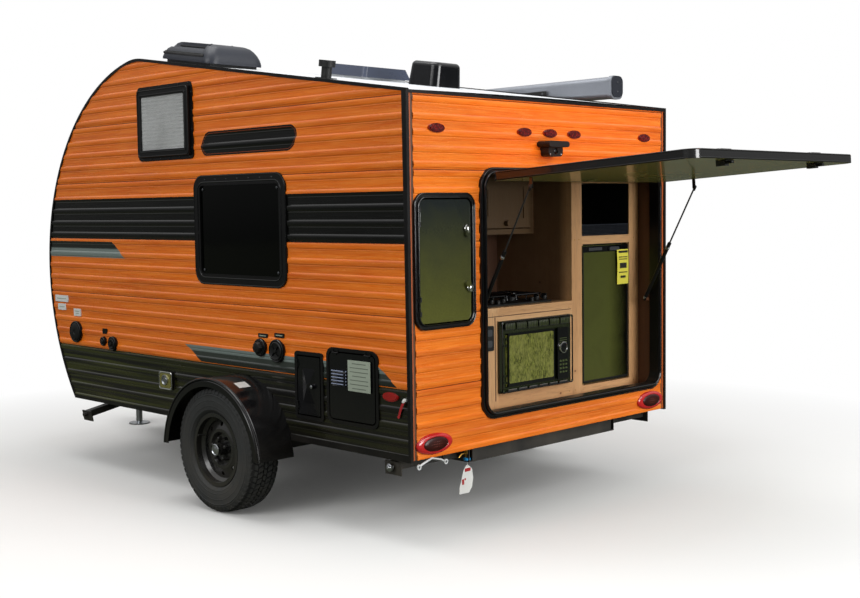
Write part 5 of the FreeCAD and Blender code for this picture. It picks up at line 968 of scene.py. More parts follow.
def makeHatchDetails(look):
    lock, label, bars, ridges = Shape(), Shape(), Shape(), Shape()
    lock.leftTurned(*look["lock"], [(0, 9), (3, 9), (4, 7), (4, 4), (5, 4), (5.5, 2.5), (5.5, 0)], 22, 22.5)
    lock.piece("hatchLock", "brightSteel", "bright_steel", "crease_hatch")
    paper, slats, face = look["label"], look["louvres"], look["face"]
    middle, tall = (paper["rear"] + paper["front"]) / 2, paper["high"] - paper["low"]
    label.leftPlate(middle, (paper["low"] + paper["high"]) / 2, paper["front"] - paper["rear"], tall, 2, face - 1, 1.3)
    label.piece("hatchLabel", "greyPaper", "white_enamel", "louvre_hatch")
    for number in range(7):
        bars.leftPlate(middle, paper["high"] - 16 - number * 20, 132 if number % 3 else 100, 4, 0.8, face - 1, 1.9)
    bars.piece("hatchLabelBars", "inkGrey", "white_enamel", "louvre_hatch")
    # Painted highlights: pale blue-silver lips along the black louvres
    for number in range(5):
        h = slats["low"] + (number + 0.5) * (slats["high"] - slats["low"]) / 5
        ridges.rod(leftAt(slats["rear"] + 4, h, face + 5), leftAt(slats["front"] - 4, h, face + 5), 3.2)
        ridges.leftTurned(slats["rear"] - 10, h, [(0, 4), (2, 3.4), (2.6, 0)], 10, face)
    ridges.piece("louvreLips", "louvreHighlightSilver", "bright_steel", "louvre_hatch")


makeHatchDetails(hatchLook)

# Storage door: chrome paddle latches and a bead round the leaf
storageLook = {"left": -983, "right": -577, "low": 602, "high": 1240, "latches": ((-636, 1070), (-622, 787)),
               "face": -15.5, "beads": ((22, 44, -17), (3, 60, -12)), "bead": 3.6}


def makeStorageDetails(look):
    latches, bead, face = Shape(), Shape(), look["face"]
    for x, h in look["latches"]:
        latches.rearTurned(x, h, [(0, 19), (3, 19), (5, 17), (5, 13), (3, 12), (3, 0)], face)
        latches.block((x - 8, face - 3, h - 20), (x + 8, face - 12, h + 10), 3)
        latches.block((x - 26, face - 2, h - 6), (x - 10, face - 9, h + 6), 2)
    for inset, radius, y in look["beads"]:
        bead.loop(outline(look, inset, radius, y), look["bead"])
    latches.piece("storageLatches", "chrome", "bright_steel", "storage_door")
    bead.piece("storageBead", "blackGloss", "black_trim")


makeStorageDetails(storageLook)

# Bulb seal that runs round the galley opening, and the door's own edge and latches
openingLook = {"left": -538, "right": 972, "low": 128, "high": 1363, "seals": ((8, 90, -13, 5), (25, 74, -22, 6.5))}
liftDoorLook = {"left": -498, "right": 932, "low": 168, "high": 1323, "radius": 62, "outer": -12, "inner": 23,
                "latches": (-186, 620), "latchH": 205}


def makeGalleySeal(look):
    seal = Shape()
    for inset, radius, y, thick in look["seals"]:
        seal.loop(outline(look, inset, radius, y, 10), thick, 10)
    seal.piece("galleySeal", "blackGloss", "black_trim")


def makeLiftDoor(look):
    edge, latches = Shape(), Shape()
    for y in (look["outer"] - 2, look["inner"] - 3):
        edge.move(edge.loop(outline(look, 2, look["radius"], y), 4), doorOpen)
    edge.piece("liftDoorEdge", "blackTrim", "black_trim", "galley_door")
    y, h = look["inner"], look["latchH"]
    for x in look["latches"]:
        latches.move(latches.block((x - 30, y, h - 16), (x + 30, y + 7, h + 16), 3), doorOpen)
        latches.move(latches.block((x - 9, y + 6, h - 30), (x + 9, y + 18, h + 4), 3), doorOpen)
        latches.move(latches.rearTurned(x, h + 4, [(0, 9), (-10, 9), (-12, 6), (-12, 0)], y + 6, 16), doorOpen)
    latches.piece("liftDoorLatches", "blackPlastic", "black_plastic", "galley_door")


makeGalleySeal(openingLook)
makeLiftDoor(liftDoorLook)

# Gas struts: collar, hexagon at the foot and hexagon at the rod's head
strutLook = {"collar": ((0, 10.8), (2, 11.8), (12, 11.8), (14, 9.8), (20, 8.8), (20, 7.6), (12, 7.6), (0, 10.8)),
             "foot": ((0, 6.2), (4, 8.5), (16, 8.5), (20, 6)), "head": ((0, 5.2), (3, 7.2), (18, 7.2), (20, 5.5)),
             "collarAt": 0.335, "footAt": 0.012, "headAt": 0.034}


def makeStrutDetails(look):
    for side in ("left", "right"):
        tubeLow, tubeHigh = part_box(side + "_strut_tube")
        rodLow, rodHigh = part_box(side + "_strut_rod")
        x = (tubeLow[0] + tubeHigh[0]) / 2
        foot, head = Vector((x, tubeHigh[1], tubeLow[2])), Vector((x, rodLow[1], rodHigh[2]))
        along, collar, end = (head - foot).normalized(), Shape(), Shape()
        collar.turned(foot + along * look["collarAt"], along, look["collar"], 20, False)
        collar.turned(foot + along * look["footAt"], along, look["foot"], 8)
        collar.piece(side + "StrutCollar", "brightSteel", "bright_steel", side + "_strut_tube")
        end.turned(head - along * look["headAt"], along, look["head"], 8)
        end.piece(side + "StrutEnd", "blackPlastic", "black_plastic", side + "_strut_rod")


makeStrutDetails(strutLook)

# Camera over the door: lens and screws
cameraLook = {"x": -23, "h": 1452, "lens": 15, "face": -58.6, "screws": 43.2}


def makeCameraDetails(look):
    glass, screws = Shape(), Shape()
    x, h, lens, face = look["x"], look["h"], look["lens"], look["face"]
    glass.rearTurned(x, h - 4, [(0, lens), (3, lens), (4, lens - 3), (1, lens - 5), (2.5, lens - 9), (3, 0)], face)
    glass.piece("cameraLens", "darkGlass", "dark_glass")
    for way in (-1, 1):
        screws.rearTurned(x + way * look["screws"], h - 20, screwHead(4, 2.5), face, 12)
    screws.piece("cameraScrews", "brightSteel", "bright_steel")


makeCameraDetails(cameraLook)

# Microwave front: vents, control panel with its ring knob, lower slots and corner screws; black plates behind the vents
# and slots paint the shade inside their openings
microwaveLook = {"left": -241, "right": 336, "low": 213, "high": 585, "face": 126, "doorLeft": -190, "doorRight": 197,
                 "doorLow": 240, "doorHigh": 520, "panelRight": 296, "knob": (244, 412), "vents": 6, "ventH": 556,
                 "slotH": 226}


def makeMicrowave(look):
    dark, fins, panel, silver, glass, border = [Shape() for number in range(6)]
    left, right, low, high, face = [look[key] for key in ("left", "right", "low", "high", "face")]

    def openings(margin):
        starts = spaced(left + margin, right - margin, look["vents"])
        return [(start + 6, end - 6) for start, end in zip(starts, starts[1:])]
    # Painted shade: flat black plates stand in for the dark inside the vent and slot openings
    for start, end in openings(22):
        dark.rearPlate((start + end) / 2, look["ventH"], end - start, 34, 5, face + 0.2, 1.2)
        for x in spaced(start + 6, end - 6, 5):
            fins.block((x - 3.4, face - 1, look["ventH"] - 14), (x + 2.4, face - 5, look["ventH"] + 14), 1)
    for start, end in openings(40):
        dark.rearPlate((start + end) / 2, look["slotH"], end - start, 9, 4, face + 0.2, 1.0)
        silver.rod(place(start + 4, face - 1.6, look["slotH"] + 3), place(end - 4, face - 1.6, look["slotH"] + 3), 1.4, 8)
    x, front, doorHigh = (look["doorRight"] + look["panelRight"]) / 2 + 2, face - 5.8, look["doorHigh"]
    h, tall = (look["doorLow"] + doorHigh) / 2, doorHigh - look["doorLow"]
    panel.rearPlate(x, h, look["panelRight"] - look["doorRight"] - 6, tall, 4, face + 0.2, 6)
    panel.rearPlate(x, doorHigh - 38, 76, 30, 3, front, 0.8)
    for row in range(4):
        for column in (-1, 0, 1):
            fins.rearPlate(x + column * 24, 340 - row * 20, 16, 10, 2, front, 0.9)
    for row in range(3):
        fins.rearPlate(x, 462 - row * 11, 60, 4, 1, front, 0.7)
    silver.rearTurned(*look["knob"], [(0, 33), (4, 33), (9, 31), (10, 27), (6, 25), (5, 24)], front, 44)
    panel.rearTurned(*look["knob"], [(0, 24), (8, 23), (9, 20), (9, 0)], front, 36)
    for cornerX in (left + 12, right - 12):
        for cornerH in (low + 12, high - 12):
            fins.rearTurned(cornerX, cornerH, screwHead(4.5, 2), face, 12)
    panel.loop(outline(look, 4, 8, face - 1, 4), 4)
    dark.piece("microwaveSlotShade", "inkBlack", "black_plastic")
    fins.piece("microwaveFins", "oliveMetal", "black_plastic")
    panel.piece("microwavePanel", "blackGloss", "black_gloss")
    silver.piece("microwaveKnob", "chrome", "bright_steel")
    x = (look["doorLeft"] + look["doorRight"]) / 2
    border.rearPlate(x - 1, h, 376, 278, 6, 135, 4.4)
    glass.rearPlate(x - 4, h + 3, 356, 246, 8, 130.4, 1.4)
    border.piece("microwaveDoorFrame", "blackGloss", "black_gloss", "microwave_door")
    glass.piece("microwaveGlass", "grassReflectionGlass", "dark_glass", "microwave_door")


makeMicrowave(microwaveLook)

# Galley face: outlet box, stile groove and screws
galleyLook = {"face": 154, "outlet": (-318, 503), "screwSpots": (
    (-376, 620), (-376, 160), (340, 160), (392, 1310), (392, 160), (430, 985), (392, 985), (340, 620), (930, 985),
    (930, 160), (930, 1310))}


def makeOutletBox(look):
    plate, slots, groove, (x, h), face = Shape(), Shape(), Shape(), look["outlet"], look["face"]
    plate.rearPlate(x, h, 76, 128, 8, face, 12)
    plate.rearPlate(x, h, 60, 106, 6, face - 12, 1)
    for up in (-28, 28):
        slots.rearPlate(x, h + up, 46, 34, 9, face - 12, 2.2)
        for across in (-9, 9):
            slots.rearPlate(x + across, h + up, 4, 13, 1, face - 14, 0.8)
    plate.piece("outletBox", "blackPlastic", "black_plastic")
    slots.piece("outletFaces", "greyPaint", "black_plastic")
    groove.block((-262, face + 0.2, 175), (-256, face - 0.5, 606))
    groove.block((-382, face + 0.2, 608), (358, face - 0.5, 612))
    groove.piece("stileGroove", "brownPine", "dark_pine")


# Hob: two square grates with a ring and four fingers each, and a row of knobs
hobLook = {"top": 700, "burners": (-155, 118), "y": 375, "reach": 100, "ends": (250, 500), "bars": (262, 488), "wire": 4.5,
           "ring": 32, "finger": 118, "knobs": (-210, -120, 150, 214)}


def makeHob(look):
    grates, knobs, top = Shape(), Shape(), look["top"]
    start, end = look["ends"]

    def around(x, degrees, reach, up=0):
        angle = math.radians(degrees)
        return place(x + reach * math.cos(angle), look["y"] + reach * math.sin(angle), top + up)
    for x in look["burners"]:
        for side in (x - look["reach"], x + look["reach"]):
            grates.tube([place(side, y, h) for y, h in ((start, top - 24), (start, top), (end, top), (end, top - 24))],
                        look["wire"])
        for y in look["bars"]:
            grates.tube([place(x - look["reach"], y, top), place(x + look["reach"], y, top)], look["wire"])
        for turn in range(45, 360, 90):
            grates.tube([around(x, turn, look["ring"], 1), around(x, turn, look["finger"])], look["wire"])
        grates.tube([around(x, turn, look["ring"], 1) for turn in range(0, 361, 30)], 4)
    for x in look["knobs"]:
        knobs.turned(place(x, 226, top - 26), (0, -0.35, 1), [(0, 17), (12, 16), (20, 12), (21, 0)], 20)
        knobs.block((x - 3, 208, top - 10), (x + 3, 240, top + 2), 1)
    grates.piece("hobGrates", "blackGloss", "black_gloss")
    knobs.piece("hobKnobs", "blackPlastic", "black_plastic")


# Fridge door: strip, latch and edges, and a tag that hangs from the latch
fridgeLook = {"left": 463, "right": 879, "low": 185, "high": 949, "face": 158, "tag": (762, 868, 920, 198),
              "tagBars": ((906, 12, 84), (876, 5, 76), (864, 5, 76), (828, 30, 62), (790, 5, 76), (764, 12, 44))}


def makeFridgeDetails(look):
    strip, hooks, edges, tag, tagBars = [Shape() for number in range(5)]
    left, right, low, high, face = [look[key] for key in ("left", "right", "low", "high", "face")]
    x, across = (left + right) / 2, right - left
    strip.rearPlate(x, high - 20, across - 8, 34, 6, face + 0.2, 4)
    hooks.rearPlate(x - 96, high - 20, 120, 16, 4, face - 3.8, 3)
    hooks.rearPlate(x + 70, high - 22, 90, 20, 8, face - 3.8, 9)
    edges.rearPlate(x, low + 8, across - 10, 12, 4, face + 0.2, 3)
    for side in (left + 5, right - 5):
        edges.rearPlate(side, (low + high) / 2, 8, high - low - 8, 3, face + 0.2, 3)
    strip.piece("fridgeStrip", "blackGloss", "black_gloss", "fridge_door")
    hooks.piece("fridgeLatch", "greyPaint", "black_plastic", "fridge_door")
    edges.piece("fridgeEdges", "blackPlastic", "black_plastic", "fridge_door")
    start, end, top, drop = look["tag"]
    rings = []
    for fall in spaced(0, 1, 8):
        y = face - 12 - 2.8 * math.sin(fall * 4.2)
        rings.append([place(side + 6 * fall, y + thick, top - drop * fall)
                      for side, thick in ((start, 0), (end, 0), (end, 0.8), (start, 0.8))])
    tag.skin(rings)
    tag.piece("fridgeTag", "yellowPaper", "cushion", "fridge_door")
    for h, tall, wide in look["tagBars"]:
        tagBars.block((818 - wide / 2, face - 16.2, h - tall / 2), (818 + wide / 2, face - 15.4, h + tall / 2))
    tagBars.piece("tagBars", "inkBlack", "black_plastic", "fridge_door")


# Niche over the fridge: dark lining and a net along its foot; beside it a wooden hook on the wall
nicheLook = {"left": 455, "right": 885, "low": 1004, "high": 1292, "depth": 520, "wires": 40, "net": 58, "rows": 8}


def makeNiche(look, face):
    lining, band, hook = Shape(), Shape(), Shape()
    left, right, low, high = [look[key] for key in ("left", "right", "low", "high")]
    rings = [[place(x, y, h) for x, h in ((left, low), (right, low), (right, high), (left, high))]
             for y in (look["depth"], face + 3)]
    lining.skin(rings, capped=False)
    lining.mesh.verts.ensure_lookup_table()
    lining.mesh.faces.new(lining.mesh.verts[:4])
    lining.piece("nicheLining", "blackPlastic", "black_plastic", smooth=False)
    for x in spaced(left + 2, right - 2, look["wires"] - 1):
        band.block((x - 1.6, face + 5, low), (x + 1.6, face + 4, low + look["net"]))
    for number in range(look["rows"]):
        band.block((left, face + 5.5, low + number * 8 - 1), (right, face + 4.5, low + number * 8 + 1))
    band.tube([place(x, face + 4, low + look["net"] + 2) for x in (left, right)], 3)
    band.piece("nicheNet", "darkMesh", "black_plastic", smooth=False)
    hook.tube([place(*spot) for spot in ((976, 174, 1222), (960, 174, 1222), (946, 172, 1218), (940, 168, 1226),
                                         (938, 166, 1234))], 5.5)
    hook.block((977, 162, 1204), (972, 186, 1240), 2)
    hook.piece("wallHook", "pineUpright", "pine")


def makeGalleyScrews(look):
    screws = Shape()
    for x, h in look["screwSpots"]:
        screws.rearTurned(x, h, screwHead(3.4, 0.8), look["face"], 12)
    screws.piece("galleyScrews", "brass", "bright_steel")


makeOutletBox(galleyLook)
makeHob(hobLook)
makeFridgeDetails(fridgeLook)
makeNiche(nicheLook, galleyLook["face"])
makeGalleyScrews(galleyLook)

# Tail lamps: a red oval rim with a dark dotted lens, in place of the plain ones
tailLook = {"x": 866, "h": 64, "count": 64, "dots": ((34, 7), (58, 11), (66, 13), (58, 11), (34, 7)), "rowPitch": 11.0,
            "rim": ((119, 50, 0.5), (119, 50, 8), (116, 47.5, 12), (107, 43, 15.5), (92, 38.5, 18.5), (84, 35.5, 19),
                    (80, 34, 17)),
            "lens": ((80, 34, 16), (79.5, 33.6, 19), (74, 31, 22), (56, 23, 25), (30, 12, 26.6), (10, 4, 27))}


def ovalDome(shape, x, h, rows, count):
    angles = [2 * math.pi * number / count for number in range(count)]
    shape.skin([[place(x + wide * math.cos(angle), -proud, h + tall * math.sin(angle)) for angle in angles]
                for wide, tall, proud in rows])


def makeTailLamps(look):
    rims, lenses, dots = Shape(), Shape(), Shape()
    for side in (-1, 1):
        x, h = side * look["x"], look["h"]
        ovalDome(rims, x, h, look["rim"], look["count"])
        ovalDome(lenses, x, h, look["lens"], look["count"])
        for row, (reach, number) in enumerate(look["dots"]):
            up = (row - 2) * look["rowPitch"]
            for across in spaced(-reach, reach, number - 1):
                depth = 27 - 8.5 * ((across / 80) ** 2 + (up / 34) ** 2)
                dots.rearTurned(x + across, h + up, [(0, 3.4), (0.8, 3.1), (1.5, 2), (1.8, 0)], 0.6 - depth, 8)
    made = rims.piece("tailRims", "tailRim", "red_lens")
    lenses.piece("tailLenses", "tailLens", "red_lens")
    dots.piece("tailDots", "tailDot", "red_lens")
    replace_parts(made, "tail_lamps")


makeTailLamps(tailLook)

# Wheels: a carcass with tread blocks in place of each plain tyre, lug nuts, hub cap ring and valve
wheelLook = {
    "y": 1276.0, "radius": 331.5, "middle": 1131.0, "lugs": 5, "lugCircle": 57.0, "blocks": 60,
    "section": ((72, 179), (75, 196.5), (77, 199), (82, 201), (88, 207), (92.5, 214), (94, 220), (96.5, 236), (98, 256),
                (97.6, 272), (96, 287), (96.4, 289), (94.5, 294), (91, 305), (86, 314), (79, 320), (66, 323.5),
                (40, 324.5)),
    "rows": ((-84, -49, 0.5, True), (-43, -15, 0.0, False), (-9, 9, 0.5, True), (15, 43, 0.0, False), (49, 84, 0.5, True)),
    "lug": ((-12, 12.5), (6, 11.8), (10, 9), (12, 4), (12, 0)),
    "ring": ((0, 31), (3, 31), (5, 27), (2, 24), (2, 18), (4, 14), (4, 0)),
    "valve": ((0, 5), (28, 4.5), (30, 5.5), (40, 5.5), (41, 0))}


def addTread(tyre, look, axle, middle):
    radius, count = look["radius"] / 1000, look["blocks"]
    for number in range(count):
        for start, end, shift, even in look["rows"]:
            shoulder = abs(start + end) > 100
            wide = math.pi * radius / count * (0.74 if shoulder else 0.66)
            made = tyre.box(Vector((start / 1000, -wide, radius - 0.014)), Vector((end / 1000, wide, radius)))
            for vert in made:
                vert.co.y += (-0.3 if even else 0.34) * (vert.co.x - (start + end) / 2000)
                if shoulder:
                    vert.co.z -= 0.0085 * max(abs(vert.co.x) * 1000 - 56, 0) / 28
                vert.co.z = min(vert.co.z, math.sqrt(max(radius ** 2 - vert.co.y ** 2, 0)) - 0.0002)
                vert.co.x += middle
            tyre.move(made, Matrix.Translation(axle) @ Matrix.Rotation(2 * math.pi * (number + shift) / count, 4, "X"))
    for number in range(count):
        turn = Matrix.Translation(axle) @ Matrix.Rotation(2 * math.pi * (number + 0.5) / count, 4, "X")
        for way in (-1, 1):
            made = tyre.box(Vector((way * 0.09, -0.0058, 0.297)), Vector((way * 0.0962, 0.0058, 0.319)))
            for vert in made:
                vert.co.x += middle - way * 0.0085 * (vert.co.z > 0.305)
            tyre.move(made, turn)


def makeWheelDetails(look):
    axle = place(0, look["y"], look["radius"] - bodyBase)
    for side, name in ((-1, "left"), (1, "right")):
        tyre, lugs, cap, body = Shape(), Shape(), Shape(), name + "_wheel"
        middle = side * look["middle"] / 1000
        profile = [(-x, r) for x, r in look["section"]] + [(x, r) for x, r in reversed(look["section"])]
        tyre.turned(axle + Vector((middle, 0, 0)), (1, 0, 0), profile, 72, False)
        addTread(tyre, look, axle, middle)
        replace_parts(tyre.piece(name + "Tyre", "tyreRubber", "tyre_rubber", body), name + "_tyre")
        low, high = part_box(body)
        face, circleReach = max(abs(low[0]), abs(high[0])), look["lugCircle"] / 1000
        for number in range(look["lugs"]):
            angle = 2 * math.pi * (number + 0.25) / look["lugs"]
            away = Vector((side * (face - 0.026), circleReach * math.cos(angle), circleReach * math.sin(angle)))
            lugs.turned(axle + away, (side, 0, 0), look["lug"], 6)
        cap.turned(axle + Vector((side * (face - 0.001), 0, 0)), (side, 0, 0), look["ring"], 36)
        lugs.turned(axle + Vector((side * (face - 0.03), 0.135, 0.06)), (side, 0.1, 0.05), look["valve"], 12)
        lugs.piece(name + "LugNuts", "wheelSteel", "wheel_steel", body)
        cap.piece(name + "HubRing", "brightSteel", "bright_steel", body)


makeWheelDetails(wheelLook)
print("galley and wheels dressed")

# Fenders: rolled outer lip and the blank sticker
fenderLook = {"y": 1287.0, "centre": 280.0, "radius": 432.0, "low": 322.0, "outer": 1245.0, "stickerAngle": 112,
              "sticker": (35, 28)}


def makeFenderDetails(look):
    radius, height = look["radius"], look["centre"] - bodyBase
    start = math.asin((look["low"] - look["centre"]) / radius)
    for side, name in ((-1, "left"), (1, "right")):
        lip, x = Shape(), side * (look["outer"] - 5)
        lip.tube([place(x, look["y"] + (radius - 5) * math.cos(angle), height + (radius - 5) * math.sin(angle))
                  for angle in spaced(start, math.pi - start, 40)], 6.2)
        lip.piece(name + "FenderLip", "blackGloss", "black_gloss")
    sticker, (across, along) = Shape(), look["sticker"]
    turn = Matrix.Rotation(math.radians(look["stickerAngle"] - 90), 4, "X")
    turn = Matrix.Translation(place(-1140, look["y"], height)) @ turn
    for low, high in ((0.2, 1.2), (1.0, 1.3)):
        sticker.move(sticker.box(mm(-across, -along, radius + low), mm(across, along, radius + high)), turn)
    sticker.piece("fenderSticker", "whitePlastic", "white_enamel")


makeFenderDetails(fenderLook)

# Underneath at the rear: bracket, drain valve with its tag, steel nuts of the rear stabilisers
underLook = {
    "bracket": ((-978, -24), (-960, -16), (-900, 2), (-838, -14), (-816, -26)), "bracketY": -22, "eyes": (-986, -808),
    "eye": ((0, 6), (0, 13), (6, 13), (6, 6), (0, 6)), "valve": (-578, 60),
    "body": ((0, 12), (20, 12), (22, 16), (40, 16), (42, 10), (62, 10), (64, 13), (74, 13)),
    "ring": ((0, 14), (4, 19), (12, 19), (16, 14)),
    "tag": ((-6, 0), (-26, -22), (-40, -62), (-58, -104), (-60, -134), (8, -136), (30, -112), (42, -66), (36, -22),
            (14, -2)),
    "patches": ((4, -22, 40, 16), (-32, -78, 14, 26), (-16, -66, 10, 10)),
    "nut": ((0, 19), (12, 19), (14, 14), (20, 13), (22, 8), (26, 7), (27, 0))}


def makeUnderside(look):
    bracket, valve, ring, tag, patches = [Shape() for number in range(5)]
    y = look["bracketY"]
    bracket.tube([place(x, y, h) for x, h in look["bracket"]], 5)
    for x in look["eyes"]:
        bracket.turned(place(x, y - 4, -28), (0, 1, 0), look["eye"], 20, False)
    bracket.piece("clearBracket", "meshSilver", "bright_steel")
    x, y = look["valve"]
    valve.turned(place(x, y, 6), (0, 0, -1), look["body"], 6)
    valve.tube([place(x + a, y, h) for a, h in ((0, -30), (-40, -34), (-58, -48))], 4)
    ring.turned(place(x, y, -54), (0, 0, -1), look["ring"], 24)
    valve.piece("drainValve", "brass", "bright_steel")
    ring.piece("drainRing", "blueRubber", "black_plastic")
    tag.tube([place(x + a, y, h) for a, h in ((0, -68), (3, -80), (2, -92))], 2.4)

    def onTag(a, b, out=0.0):
        return place(x + a, y - out + b * 0.04, -94 + b)
    tag.prism([onTag(a, b) for a, b in look["tag"]], (0, 1.2, 0))
    for a, b, wide, tall in look["patches"]:
        patches.prism([onTag(a + c * wide / 2, b + d * tall / 2, 0.6) for c, d in ((-1, -1), (1, -1), (1, 1), (-1, 1))],
                      (0, -0.4, 0))
    tag.piece("drainTag", "whitePlastic", "white_enamel", smooth=False)
    patches.piece("tagPatches", "redCloth", "red_lens", smooth=False)
    for side, name in ((-1, "rear_left_leg"), (1, "rear_right_leg")):
        nut, (low, high) = Shape(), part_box(name)
        edge = low[0] if side < 0 else high[0]
        spot = Vector((edge - side * 0.012, (low[1] + high[1]) / 2, (low[2] + high[2]) / 2 + 0.006))
        nut.turned(spot, (side, 0, 0), look["nut"], 18)
        nut.piece(name.replace("_", "") + "Nut", "brightSteel", "bright_steel", name)


makeUnderside(underLook)

# Side plug with its ribbon
plugLook = {"tip": ((0, 0), (1, 5), (4, 6.8), (16, 6.8), (19, 4), (20, 0)), "half": (0.5, 6)}


def makePlug(look):
    plug, ribbon, (thin, wide) = Shape(), Shape(), look["half"]
    plug.turned(place(-1029, 25, 289), (0, 0.5, -0.9), look["tip"], 16)
    plug.block((-1015, 18, 278), (-1030, 32, 292), 2)
    plug.piece("sidePlug", "whitePlastic", "white_enamel")
    rows = []
    for share in spaced(0, 1, 10):
        centre = place(-1027 - 3 * math.sin(share * 5), 28 + 45 * share, 280 - 84 * share)
        rows.append([centre + mm(a, b, b * 0.55) for a, b in ((-thin, -wide), (-thin, wide), (thin, wide), (thin, -wide))])
    ribbon.skin(rows)
    strip = ribbon.piece("plugStrip", "redCloth", "red_lens")


makePlug(plugLook)

# Roof: crowned membrane; awning caps, clamps and screws; flange of the antenna
roofLook = {"height": 1708.0, "slope": 0.151, "rear": 6.0, "front": 2080.0, "crown": 9.0, "half": 986.0, "fade": 300.0}
awningLook = {"ends": ((392, -1), (2392, 1)), "clamps": ((872, 1226), (1700, 2050)),
              "screwYs": (560, 820, 1560, 1820, 2080)}


def makeRoofSkin(look):
    skin, rows = Shape(), []
    for y in spaced(look["rear"], look["front"], 12):
        fade = min(1.0, (look["front"] - y) / look["fade"] + 0.12)
        base = look["height"] + look["slope"] * y + 0.5
        rows.append([place(look["half"] * share, y, base + look["crown"] * (1 - share * share) * fade)
                     for share in spaced(-1, 1, 20)])
    skin.skin(rows, around=False, capped=False)
    skin.piece("roofMembrane", "roofWhite", "white_roof")


def makeAwningDetails(look):
    caps, screws, clamps = Shape(), Shape(), Shape()
    low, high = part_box("awning")
    x, z = (low[0] + high[0]) / 2 + 0.01, high[2] - 0.064
    for end, way in look["ends"]:
        y = alongAt(end)
        caps.prism([Vector((x, y, z)) + mm(a, 0, b) for a, b in roundedRing(104, 124, 34)], (0, way * 6, 0))
        for up in (-30, 24):
            screws.turned(Vector((x, y, z)) + mm(0, way * 6, up), (0, way, 0), [(0, 6), (2, 6), (3, 4), (3, 0)], 14)
    for y in look["screwYs"]:
        screws.turned(Vector((high[0] - 0.001, alongAt(y), z + 0.02)), (1, 0, 0), [(0, 4), (2, 4), (2, 0)], 10)
    for start, end in look["clamps"]:
        clamps.box(Vector((low[0] - 0.004, alongAt(start), z - 0.03)), Vector((low[0] + 0.003, alongAt(end), z + 0.006)), 3)
        for share in (0.08, 0.92):
            spot = Vector((low[0] - 0.004, alongAt(start + (end - start) * share), z - 0.012))
            screws.turned(spot, (-1, 0, 0), [(0, 8), (4, 8), (5, 5), (5, 0)], 14)
    clamps.piece("awningClamps", "blackPlastic", "awning_grey")
    caps.piece("awningCaps", "slatePlastic", "awning_grey")
    screws.piece("awningScrews", "greyPaint", "bright_steel")


def makeAntennaFlange(slope):
    low, high = [Vector(corner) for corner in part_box("antenna")]
    flange, middle, size = Shape(), (low + high) / 2, (high - low) * 1000
    for thick, shrink in ((4, 0), (10, 10)):
        ring = roundedRing(size.x + 14 - shrink, size.y + 14 - shrink, 44, 8)
        flange.prism([Vector((middle.x, middle.y, low.z)) + mm(a, b, 12 + slope * b) for a, b in ring], (0, 0, thick))
    flange.piece("antennaFlange", "blackGloss", "black_gloss")


# Roof fan: a domed rain hood with a ridge and two long scoops over its front half, on a dark curb
fanLook = {"x": -735.0, "y": 1900.0, "width": 390.0, "length": 500.0, "round": 60.0, "curbInset": 34.0, "curb": 40.0,
           "stepStart": -150.0, "stepHeight": 97.0, "ridgeInset": 86.0, "count": 120,
           "dome": ((0, 20), (0, 30), (2, 40), (9, 60), (20, 80), (36, 100), (54, 115), (74, 122), (84, 124), (89, 124.5),
                    (110, 125), (140, 126), (175, 126)),
           "scoops": ((107, 102, -138, 168, 6.5), (187, 57, -186, 206, 7.5), (183, 66, -176, 200, 3.5))}


def evenRing(points, count):
    closed = list(points) + [points[0]]
    lengths = [0.0]
    for first, second in zip(closed, closed[1:]):
        lengths.append(lengths[-1] + math.hypot(second[0] - first[0], second[1] - first[1]))
    ring, spot = [], 0
    for number in range(count):
        reach = lengths[-1] * number / count
        while lengths[spot + 1] < reach:
            spot += 1
        share = (reach - lengths[spot]) / max(lengths[spot + 1] - lengths[spot], 1e-9)
        ring.append(tuple(a + (b - a) * share for a, b in zip(closed[spot], closed[spot + 1])))
    return ring


def makeRoofFan(look, roof):
    hood, curb, scoops = Shape(), Shape(), Shape()
    seat = place(look["x"], look["y"], roof["height"] + roof["slope"] * look["y"])
    matrix = Matrix.Translation(seat) @ Matrix.Rotation(math.atan(roof["slope"]), 4, "X")
    ridge, rings = look["ridgeInset"], []
    for inset, height in look["dome"]:
        wide, long = look["width"] - 2 * inset, look["length"] - 2 * inset
        radius = max(min(look["round"] - inset * 0.3, wide / 2 - 1), 4)
        step = min(height, look["stepHeight"] - 4 * (inset < 60))
        rings.append([])
        for a, b in evenRing(roundedRing(wide, long, radius, 8), look["count"]):
            stepped = b > look["stepStart"] and abs(a) > look["width"] / 2 - ridge and inset < ridge
            rings[-1].append(matrix @ mm(a, b, step if stepped else height))
    hood.skin(rings)
    reach, span = look["width"] / 2 - look["curbInset"], look["length"] / 2 - look["curbInset"]
    curb.move(curb.box(mm(-reach, -span, -4), mm(reach, span, look["curb"]), 6), matrix)
    for side in (-1, 1):
        for out, height, start, end, radius in look["scoops"]:
            scoops.tube([matrix @ mm(side * out, along, height) for along in spaced(start, end, 6)], radius)
        scoops.turned(matrix @ mm(side * 70, -90, 122), (0, 0, 1), [(0, 6), (4.5, 6), (5.5, 4), (5.5, 0)], 14)
    made = hood.piece("fanHood", "slatePlastic", "fan_grey")
    curb.piece("fanCurb", "blackPlastic", "fan_grey", smooth=False)
    scoops.piece("fanScoops", "blackPlastic", "fan_grey")
    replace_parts(made, "roof_fan")


makeRoofSkin(roofLook)
makeAwningDetails(awningLook)
makeAntennaFlange(roofLook["slope"])
makeRoofFan(fanLook, roofLook)

# Mattress: a crowned pad blown up by a short cloth run, with piping round its two edges
mattressLook = {"voxel": 0.016, "inset": 0.014, "cap": 0.012, "pressure": 4.0, "piping": 5, "frames": 20}


def applyModifiers(made):
    graph = bpy.context.evaluated_depsgraph_get()
    data, old = bpy.data.meshes.new_from_object(made.evaluated_get(graph)), made.data
    made.modifiers.clear()
    made.data = data
    bpy.data.meshes.remove(old)


